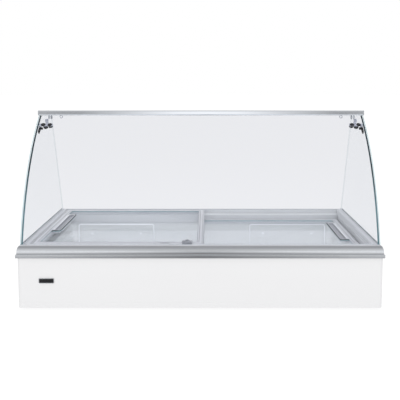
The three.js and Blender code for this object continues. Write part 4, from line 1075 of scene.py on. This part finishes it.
screws = Shape()
for x in (COVER_X[0] + 22, -330, 40, 300, COVER_X[1] - 22):
    for z in (COVER_Z[0] + 12, COVER_Z[1] - 12):
        screw(screws, lambda u, v, out, x=x, z=z: (x + u, COVER_BACK + out, z + v))
for label, side in SIDES:
    for y in (COVER_Y[0] + 18, COVER_BACK - 22):
        for z in (COVER_Z[0] + 12, COVER_Z[1] - 12):
            screw(screws, lambda u, v, out, y=y, z=z: (side * (COVER_X[1] + out), y + u, z + v), 3.6)
screws.piece("cover_screws", "chrome", [CHROME], sharp=30)

# ---------------------------------------------------------------- controls and connections

FACE = span("control_box")[1][1]
bezel = rounded((CONTROL_X[0] - 7, CONTROL_X[1] + 7), (CONTROL_Z[0] - 7, CONTROL_Z[1] + 7), 8)
steps = ((0.4, 0.1), (0, 0.6), (0.6, 2.4), (1.6, 3.0), (5.6, 3.0), (6.6, 2.6), (6.6, 0.1))
rings = stacked(bezel, "y", [(inset, COVER_BACK + out) for inset, out in steps])
Shape().loft(rings, closed=True).piece("control_bezel", "dark_plastic", [DARK], sharp=30)

WINDOW_X = (CONTROL_X[0] + 18.4, CONTROL_X[0] + 83.6)
WINDOW_Z = (CONTROL_Z[1] - 41.6, CONTROL_Z[1] - 14.4)
display = Shape().slab(rounded(WINDOW_X, WINDOW_Z, 1.2), "y", FACE - 1.15, FACE - 0.1, 0.3)
SEGMENTS = {"a": (0, 1, 0), "b": (1, 0.5, 1), "c": (1, -0.5, 1), "d": (0, -1, 0), "e": (-1, -0.5, 1),
            "f": (-1, 0.5, 1), "g": (0, 0, 0)}


def digit(shape, x, z, lit, half_width=3.6, half_height=7.0):
    """A seven-segment figure, seen from behind the cabinet, so its left is towards +X."""
    for name in lit:
        across_by, up_by, upright = SEGMENTS[name]
        cx, cz = x - across_by * half_width, z + up_by * half_height
        half_long, half_thin = (half_height / 2 - 0.8, 0.75) if upright else (half_width - 0.8, 0.75)
        du, dv = (half_thin, half_long) if upright else (half_long, half_thin)
        outline = rounded((cx - du, cx + du), (cz - dv, cz + dv), 0.6, 3)
        shape.slab(outline, "y", FACE - 0.08, FACE + 0.1, 0.05, 1, 1)


middle_x, middle_z = sum(WINDOW_X) / 2, sum(WINDOW_Z) / 2
for offset, lit in ((16, "g"), (2, "bc"), (-12, "abcdefg")):
    digit(display, middle_x + offset, middle_z, lit)
display.piece("temperature_display", "dark_plastic", [BLACK, GLOW])

for name, mark in (("set", 0), ("down", -1), ("up", 1)):
    (x0, x1), (y0, y1), (z0, z1) = span(name + "_button")
    centre = ((x0 + x1) / 2, y0, (z0 + z1) / 2)
    cap_profile = [(0, 0), (4.8, 0), (5, 0.3), (5, 6.4), (4.7, 7.3), (4.0, 7.8), (3.2, 7.7), (1.6, 7.4),
                   (0, 7.3)]
    key = Shape().lathe(cap_profile, centre, "y", 40)
    if mark:
        tip = [(centre[0] - 1.5, centre[2] - 0.9 * mark), (centre[0] + 1.5, centre[2] - 0.9 * mark),
               (centre[0], centre[2] + 1.3 * mark)]
        key.bar(tip, "y", y0 + 7.42, y0 + 7.75, 1)
    else:
        dot = rounded((centre[0] - 1.3, centre[0] + 1.3), (centre[2] - 1.3, centre[2] + 1.3), 1.2, 6)
        key.slab(dot, "y", y0 + 7.42, y0 + 7.75, 0.1, 1, 1)
    key.piece(name + "_key_cap", "key_plastic", [KEY, DARK], [name + "_button"], name + "_key")

(x0, x1), _, _ = span("power_switch")
tilt = 6
reach = 14.5
curve = [(3.6 + 2.0 * (z / reach) ** 2, z) for z in (-reach + reach * i / 10 for i in range(21))]
profile = [(-4, -13.5)] + curve + [(-4, 13.5)]
middle_of_switch = (CONTROL_Z[0] + CONTROL_Z[1]) / 2
turned = (Matrix.Translation(((x0 + x1) / 2, COVER_BACK - 0.8, middle_of_switch))
          @ Matrix.Rotation(math.radians(tilt), 4, "X"))
half = (x1 - x0) / 2
rocker = Shape().slab(profile, "x", -half, half, 0.6, at=turned)
rocker.slab(rounded((-0.7, 0.7), (6, 11), 0.6, 3), "y", 4.75, 5.15, 0.1, 1, 1, at=turned)
rocker.hoop((0, 4.75, -8.5), "y", 2.4, 0.45, 32, 8, 1, turned)
rocker.piece("rocker_paddle", "rubber", [BLACK, WIRE], ["power_switch"], "rocker")

(x0, x1), (y0, y1), (z0, z1) = span("power_inlet")
flange = rounded((x0 - 9, x1 + 3.5), (z0 - 1.5, z1 + 1.5), 5)
inner = rounded((x0 - 0.4, x1 + 0.3), (z0 - 0.3, z1 + 0.3), 1.0)
rings = stacked(flange, "y", ((0, COVER_BACK + 0.3), (0, COVER_BACK + 2.2), (0.5, COVER_BACK + 2.7)))
rings += [[(u, COVER_BACK + out, v) for u, v in inner] for out in (2.7, 0.3)]
Shape().loft(rings, closed=True).piece("inlet_surround", "dark_plastic", [DARK], sharp=30)
inlet_screws = Shape()
screw(inlet_screws, lambda u, v, out: (x0 - 4.8 + u, COVER_BACK + 2.7 + out, (z0 + z1) / 2 + v), 3)
inlet_screws.piece("inlet_screw", "chrome", [CHROME], sharp=30)

plate = Shape().slab(rounded((90, 250), (64, 136), 4), "y", COVER_BACK + 0.1, COVER_BACK + 0.9, 0.3)
for x in (96, 244):
    for z in (70, 130):
        rivet = [(0, 0.8), (2, 0.8), (1.8, 1.4), (1, 1.8), (0, 1.9)]
        plate.lathe(rivet, (x, COVER_BACK + 0.1, z), "y", 20, 1)
plate.piece("blank_rating_plate", "chrome", [PLATE, CHROME])

DRAIN_X, DRAIN_Z = (sum(span("drain_cap")[i]) / 2 for i in (0, 2))
y0, y1 = span("drain_spout")[1]
DRAIN = (DRAIN_X, 0, DRAIN_Z)
profile = [(6.5, y1 - 12), (6.5, y1 - 0.4), (6.9, y1), (8.6, y1), (9, y1 - 0.4)]
for k in range(4):
    thread_y = y1 - 1.2 - k
    profile += [(9, thread_y), (8.7, thread_y - 0.4)]
profile += [(9, COVER_BACK + 2.5), (15.4, COVER_BACK + 2.3), (16, COVER_BACK + 1.7), (16, COVER_BACK + 0.4),
            (9, COVER_BACK + 0.4), (9, y0), (6.5, y0)]
Shape().lathe(profile, DRAIN, "y", closed=True).piece("drain_pipe", "key_plastic", [KEY], ["drain_spout"],
                                                      sharp=40)

y0, y1 = span("drain_cap")[1]
profile = [(3, y0 + 3.8), (9.3, y0 + 3.8), (9.3, y0), (13.2, y0, 0.2), (13.9, y0 + 0.5, 0.6),
           (14.0, y1 - 1.6, 0.6), (13.3, y1 - 0.5, 0.5), (12.2, y1, 0.1), (9.5, y1), (8.8, y1 - 0.9),
           (3, y1 - 0.9)]
Shape().lathe(profile, DRAIN, "y", 96, lobes=16).piece("drain_plug_cap", "dark_plastic", [DARK],
                                                       ["drain_cap"], "drain_plug", sharp=30)

for end in ("front", "rear"):
    for label, _ in SIDES:
        foot = "foot_" + end + "_" + label
        xs, ys, _ = span(foot)
        profile = [(0, 0), (13.6, 0), (15, 0.4), (15.9, 1.4), (16, 2.4), (15.2, 3.4), (12.6, 4), (12, 4.6),
                   (12.6, 5.2), (12, 5.8), (12.6, 6.4), (12, 7), (12, 7.9), (0, 7.9)]
        Shape().lathe(profile, (sum(xs) / 2, sum(ys) / 2, 0), "z", 40).piece(
            foot + "_rubber", "rubber", [RUBBER], [foot], sharp=30)

# ---------------------------------------------------------------- machine space


def smooth_path(points, steps=10):
    """A Catmull-Rom curve through the points."""
    path = [Vector(p) for p in points]
    path = [path[0] * 2 - path[1]] + path + [path[-1] * 2 - path[-2]]
    curve = []
    for i in range(1, len(path) - 2):
        p0, p1, p2, p3 = path[i - 1:i + 3]
        for k in range(steps):
            t = k / steps
            curve.append(0.5 * (2 * p1 + (p2 - p0) * t + (2 * p0 - 5 * p1 + 4 * p2 - p3) * t * t
                                + (3 * p1 - p0 - 3 * p2 + p3) * t ** 3))
    return curve + [path[-2]]


(x0, x1), (y0, y1), (z0, z1) = span("compressor")
PUMP_HALF, PUMP_RADIUS = 92, 50
PUMP = (x0 + PUMP_HALF, (y0 + y1) / 2, z1 - PUMP_RADIUS)


def compressor():
    px, py, pz = PUMP
    dome = 30
    profile = [(0, -PUMP_HALF)]
    for a in (math.radians(90 * i / 12) for i in range(1, 13)):
        profile.append((PUMP_RADIUS * math.sin(a), -PUMP_HALF + dome - dome * math.cos(a)))
    profile += [(PUMP_RADIUS, -2.4), (PUMP_RADIUS, -2.0)]
    profile += [(r, -h) for r, h in reversed(profile[:-2])]
    shape = Shape().lathe(profile, PUMP, "x", 72).hoop(PUMP, "x", PUMP_RADIUS - 0.9, 1.4, 72, 10)
    grommet = [(0, 0.1), (9, 0.1), (9.4, 1.2), (8.4, 2.8), (0, 2.8)]
    nut = [(0, 5.1), (6, 5.1), (6, 6.2), (4, 6.4), (3.8, 9), (0, 9.2)]
    for fx in (px - 56, px + 56):
        shape.pad(about(fx, 12), (y0 + 0.5, y1 - 0.5), 6, "z", (z0 + 3, z0 + 5), 0.5)
        web = [(py - 32, z0 + 5.05), (py + 32, z0 + 5.05)] + arc((py, pz), PUMP_RADIUS + 0.4, -45, -135, 6)
        shape.bar(web, "x", fx - 2, fx + 2)
        for y in (py - 38, py + 38):
            shape.lathe(grommet, (fx, y, z0), "z", 28, 1).lathe(nut, (fx, y, z0), "z", 6, 2)
    shape.pad(about(py, 16), about(pz, 16), 4, "x", (px + PUMP_HALF + 0.2, x1), 1.4, 3)
    near = py - PUMP_RADIUS
    shape.pad((px - 44, px + 4), about(pz, 14), 3, "y", (near - 1.2, near - 0.1), 0.3, 2)
    shape.piece("compressor_can", "black_paint", [BLACK, RUBBER, GALVANISED, DARK], ["compressor"])


compressor()

(x0, x1), (y0, y1), (z0, z1) = span("condenser")
coil = Shape()
fins = 58
for i in range(fins):
    x = x0 + 10 + (x1 - x0 - 20) * i / (fins - 1)
    coil.pad((y0 + 1, y1 - 1), (z0 + 4, z1 - 2), 1.5, "x", about(x, 0.35), 0.1, steps=3)
rows = 5
heights = [z0 + 17 + (z1 - z0 - 34) * k / (rows - 1) for k in range(rows)]
for y in (y0 + 7, y1 - 7):
    path = []
    for k, z in enumerate(heights):
        turn, ends = (1, (x0 + 8, x1 - 8)) if k % 2 == 0 else (-1, (x1 - 8, x0 + 8))
        path += [(ends[0], y, z), (ends[1], y, z)]
        if k < rows - 1:
            bend = (heights[k + 1] - z) / 2
            path += [(ends[1] + turn * min(bend, 7) * math.sin(a), y, z + bend - bend * math.cos(a))
                     for a in (math.radians(d) for d in range(20, 180, 20))]
    coil.tube(path, 3.2, 12, kind=1)
coil.piece("condenser_coil", "fin_aluminium", [FIN, COPPER], ["condenser"], sharp=40)

FAN = [sum(pair) / 2 for pair in span("fan_blades")]
FAN_RADIUS = 50


def fan():
    shape = Shape()
    shape.lathe([(0, -8), (14.6, -8), (16, -6.6), (16, 6), (14, 7.6), (9, 8.4), (0, 8.6)], FAN, "y", 48)
    for blade in range(5):
        start = 2 * math.pi * blade / 5
        rings = []
        for i in range(9):
            r = 15.4 + (FAN_RADIUS - 15.6) * i / 8
            pitch = math.radians(46 - 22 * i / 8)
            chord = 24 + 6 * math.sin(math.pi * i / 8)
            lean = start + 0.25 * i / 8
            ring = []
            for side_of_blade in (1, -1):
                for k in range(7):
                    t = (k / 6 - 0.5) * side_of_blade
                    along = t * chord
                    bow = 2.6 * (0.25 - t * t) * 4 + side_of_blade * 0.55
                    out = along * math.sin(pitch) * 0.6 + bow * math.cos(pitch)
                    a = lean + along * math.cos(pitch) / r
                    ring.append((FAN[0] + r * math.cos(a), FAN[1] + out, FAN[2] + r * math.sin(a)))
            rings.append(ring)
        shape.loft(rings, 0)
    shape.piece("fan_rotor", "fan_aluminium", [FIN], ["fan_blades"], "fan", sharp=50)
    (_, _), (y0, y1), (z0, z1) = span("fan_motor")
    radius = (z1 - z0) / 2
    profile = [(0, y0 + 2), (6, y0 + 2), (6.5, y0), (12, y0), (13, y0 + 1.6)]
    for k in range(6):
        y = y0 + 4 + k * 4.4
        profile += [(radius - 0.4, y), (radius, y + 0.6), (radius, y + 2.6), (radius - 0.4, y + 3.2),
                    (radius - 2.4, y + 3.6)]
    profile += [(radius - 2, y1 - 1), (9, y1), (0, y1)]
    centre = (FAN[0], 0, FAN[2])
    Shape().lathe(profile, centre, "y", 48).piece("fan_motor_body", "galvanised", [GALVANISED],
                                                  ["fan_motor"], sharp=35)
    guard = Shape()
    y = span("fan_shroud")[1][0] - 1.6
    for r in (24, 33, 42, 51):
        guard.hoop((FAN[0], y, FAN[2]), "y", r, 1.0, 64, 10)
    guard.piece("fan_finger_guard", "fan_aluminium", [CHROME])


fan()

(x0, x1), (y0, y1), (z0, z1) = span("filter_drier")
profile = [(0, 0), (3.2, 0), (3.4, 10), (4.2, 14), (8, 18), (10.6, 20), (11.8, 24), (12, 30)]
length = x1 - x0
profile += [(r, length - h) for r, h in reversed(profile)]
Shape().lathe(profile, (x0, (y0 + y1) / 2, (z0 + z1) / 2), "x", 48).piece(
    "filter_drier_can", "copper", [COPPER], ["filter_drier"], sharp=40)

# the pipes' points are measured from the top of the compressor
PUMP_TOP = Vector(PUMP) + Vector((0, 0, PUMP_RADIUS))
SUCTION = [(-20, 0, 0.6), (-20, 0, 16), (-34, -20, 28), (-60, -45, 20), (-60, -61, 6)]
DISCHARGE = [(40, 0, 0.6), (40, 0, 14), (70, 10, 24), (112, 44, 12), (136, 48, 2)]
for name, route, radius in (("suction", SUCTION, 4), ("discharge", DISCHARGE, 3.2)):
    path = [PUMP_TOP + Vector(point) for point in route]
    pipe = Shape().tube(smooth_path(path), radius, 20)
    collar = [(0, -0.4), (radius + 2, -0.4), (radius + 1.4, 2.6), (radius + 0.1, 4), (0, 4)]
    pipe.lathe(collar, path[0], "z", 28)
    pipe.piece(name + "_line", "copper", [COPPER], [name + "_pipe"], sharp=50)

# ---------------------------------------------------------------- camera, light and floor

cam_data = bpy.data.cameras.new("camera")
cam_data.lens = 57.26
cam_data.sensor_width = 36.0
cam_data.shift_x = -0.02
cam_data.shift_y = -0.1333
cam = bpy.data.objects.new("camera", cam_data)
cam.location = (0.027, -2.551, 0.800)
cam.rotation_euler = (math.radians(84), 0, 0)
scene.collection.objects.link(cam)
scene.camera = cam
scene.view_settings.view_transform = "Standard"
# a ray may cross the guard, both lids and come back out again
scene.cycles.transparent_max_bounces = 24

# The world is what polished metal mirrors: in front it fades from the horizon upwards and is
# dimmer straight ahead than to the sides, and behind it is white. The camera and every matt
# surface see a plain white studio.
world = bpy.data.worlds.new("studio")
world.use_nodes = True
scene.world = world
sky = world.node_tree
background = sky.nodes["Background"]
split = node(sky, "SeparateXYZ", Vector=node(sky, "TexCoord").outputs["Generated"])
sideways = operate(sky, "ABSOLUTE", split.outputs["X"])
height = split.outputs["Z"]
ends = ramp(sky, height, [(0.0, level(0.9)), (0.12, level(0.72)), (0.29, level(0.53)), (0.6, level(0.46))])
centre = ramp(sky, height, [(0.0, level(0.54)), (0.12, level(0.57)), (0.29, level(0.45)),
                            (0.6, level(0.44))])
aside = operate(sky, "MULTIPLY", sideways, 4.0, clamp=True)
front_half = blend(sky, "MixRGB", aside, centre, ends)
beside = ramp(sky, sideways, [(0.0, level(1.0)), (0.8, level(1.0)),
                              (0.97, level(0.55)), (1.0, level(0.55))])
ahead = operate(sky, "MULTIPLY", split.outputs["Y"], -4.0, clamp=True)
around = blend(sky, "MixRGB", ahead, beside, front_half)
overhead = operate(sky, "MULTIPLY_ADD", height, 2.2, -0.9, clamp=True)
lit = blend(sky, "MixRGB", overhead, around, level(0.42))
ray = node(sky, "LightPath").outputs
plain = operate(sky, "MAXIMUM", ray["Is Camera Ray"], ray["Is Diffuse Ray"])
sky.links.new(blend(sky, "MixRGB", plain, lit, level(1.0)), background.inputs["Color"])


def softbox(name, place, target, width, height, power):
    light = bpy.data.lights.new(name, "AREA")
    light.shape = "RECTANGLE"
    light.size = width
    light.size_y = height
    light.energy = power
    lamp = bpy.data.objects.new(name, light)
    lamp.location = place
    lamp.rotation_euler = (Vector(target) - Vector(place)).to_track_quat("-Z", "Y").to_euler()
    lamp.visible_glossy = False
    lamp.visible_camera = False
    scene.collection.objects.link(lamp)


softbox("front_softbox", (0, -4.0, 1.5), (0, 0, 0.3), 4.0, 2.5, 34)
softbox("top_softbox", (0, -0.3, 3.2), (0, -0.1, 0.2), 3.0, 2.5, 55)
tank_front, tank_middle = TANK_Y[0] / 1000 + 0.004, 0.12
softbox("tank_fill", (0, tank_front, tank_middle), (0, 1, tank_middle), 1.1, 0.1, 0.9)
for label, side in SIDES:
    wall = side * (TANK_X[1] / 1000 - 0.004)
    softbox(label + "_tank_fill", (wall, 0, tank_middle), (-wall, 0, tank_middle), 0.5, 0.06, 0.08)

floor_mesh = bpy.data.meshes.new("floor")
reach = 30.0
floor_mesh.from_pydata([(-reach, -reach, 0), (reach, -reach, 0), (reach, reach, 0), (-reach, reach, 0)],
                       [], [(0, 1, 2, 3)])
floor = bpy.data.objects.new("floor", floor_mesh)
scene.collection.objects.link(floor)
floor_material, tree, surface = blank("pale_floor")
diffuse = node(tree, "BsdfDiffuse", Color=level(0.1))
glow = node(tree, "Emission", Strength=0.93)
both = node(tree, "AddShader")
for socket, shader in zip(both.inputs, (diffuse.outputs["BSDF"], glow.outputs["Emission"])):
    feed(tree, socket, shader)
# what a mirror sees of the floor: dimmer under the middle of the object, and in three depths
place = node(tree, "SeparateXYZ", Vector=node(tree, "TexCoord").outputs["Object"]).outputs
across = operate(tree, "ABSOLUTE", place["X"])
away = operate(tree, "ABSOLUTE", place["Y"])
near_glow = ramp(tree, across, [(0.0, level(0.22)), (0.85, level(0.54))])
middle_glow = ramp(tree, across, [(0.0, level(0.46)), (0.75, level(0.95))])
far_glow = ramp(tree, operate(tree, "DIVIDE", across, away),
                [(0.0, level(1.0)), (0.06, level(0.95)), (0.24, level(0.36)), (0.6, level(0.6))])
to_middle = operate(tree, "MULTIPLY_ADD", away, 2.0, -2.5, clamp=True)
to_far = operate(tree, "MULTIPLY_ADD", away, 0.5, -4.5, clamp=True)
colour = blend(tree, "MixRGB", to_far, blend(tree, "MixRGB", to_middle, near_glow, middle_glow), far_glow)
mirrored_glow = node(tree, "Emission", Color=colour)
is_mirror = node(tree, "LightPath").outputs["Is Glossy Ray"]
mixed = blend(tree, "MixShader", is_mirror, both.outputs["Shader"], mirrored_glow.outputs["Emission"])
tree.links.new(mixed, surface)
floor_mesh.materials.append(floor_material)
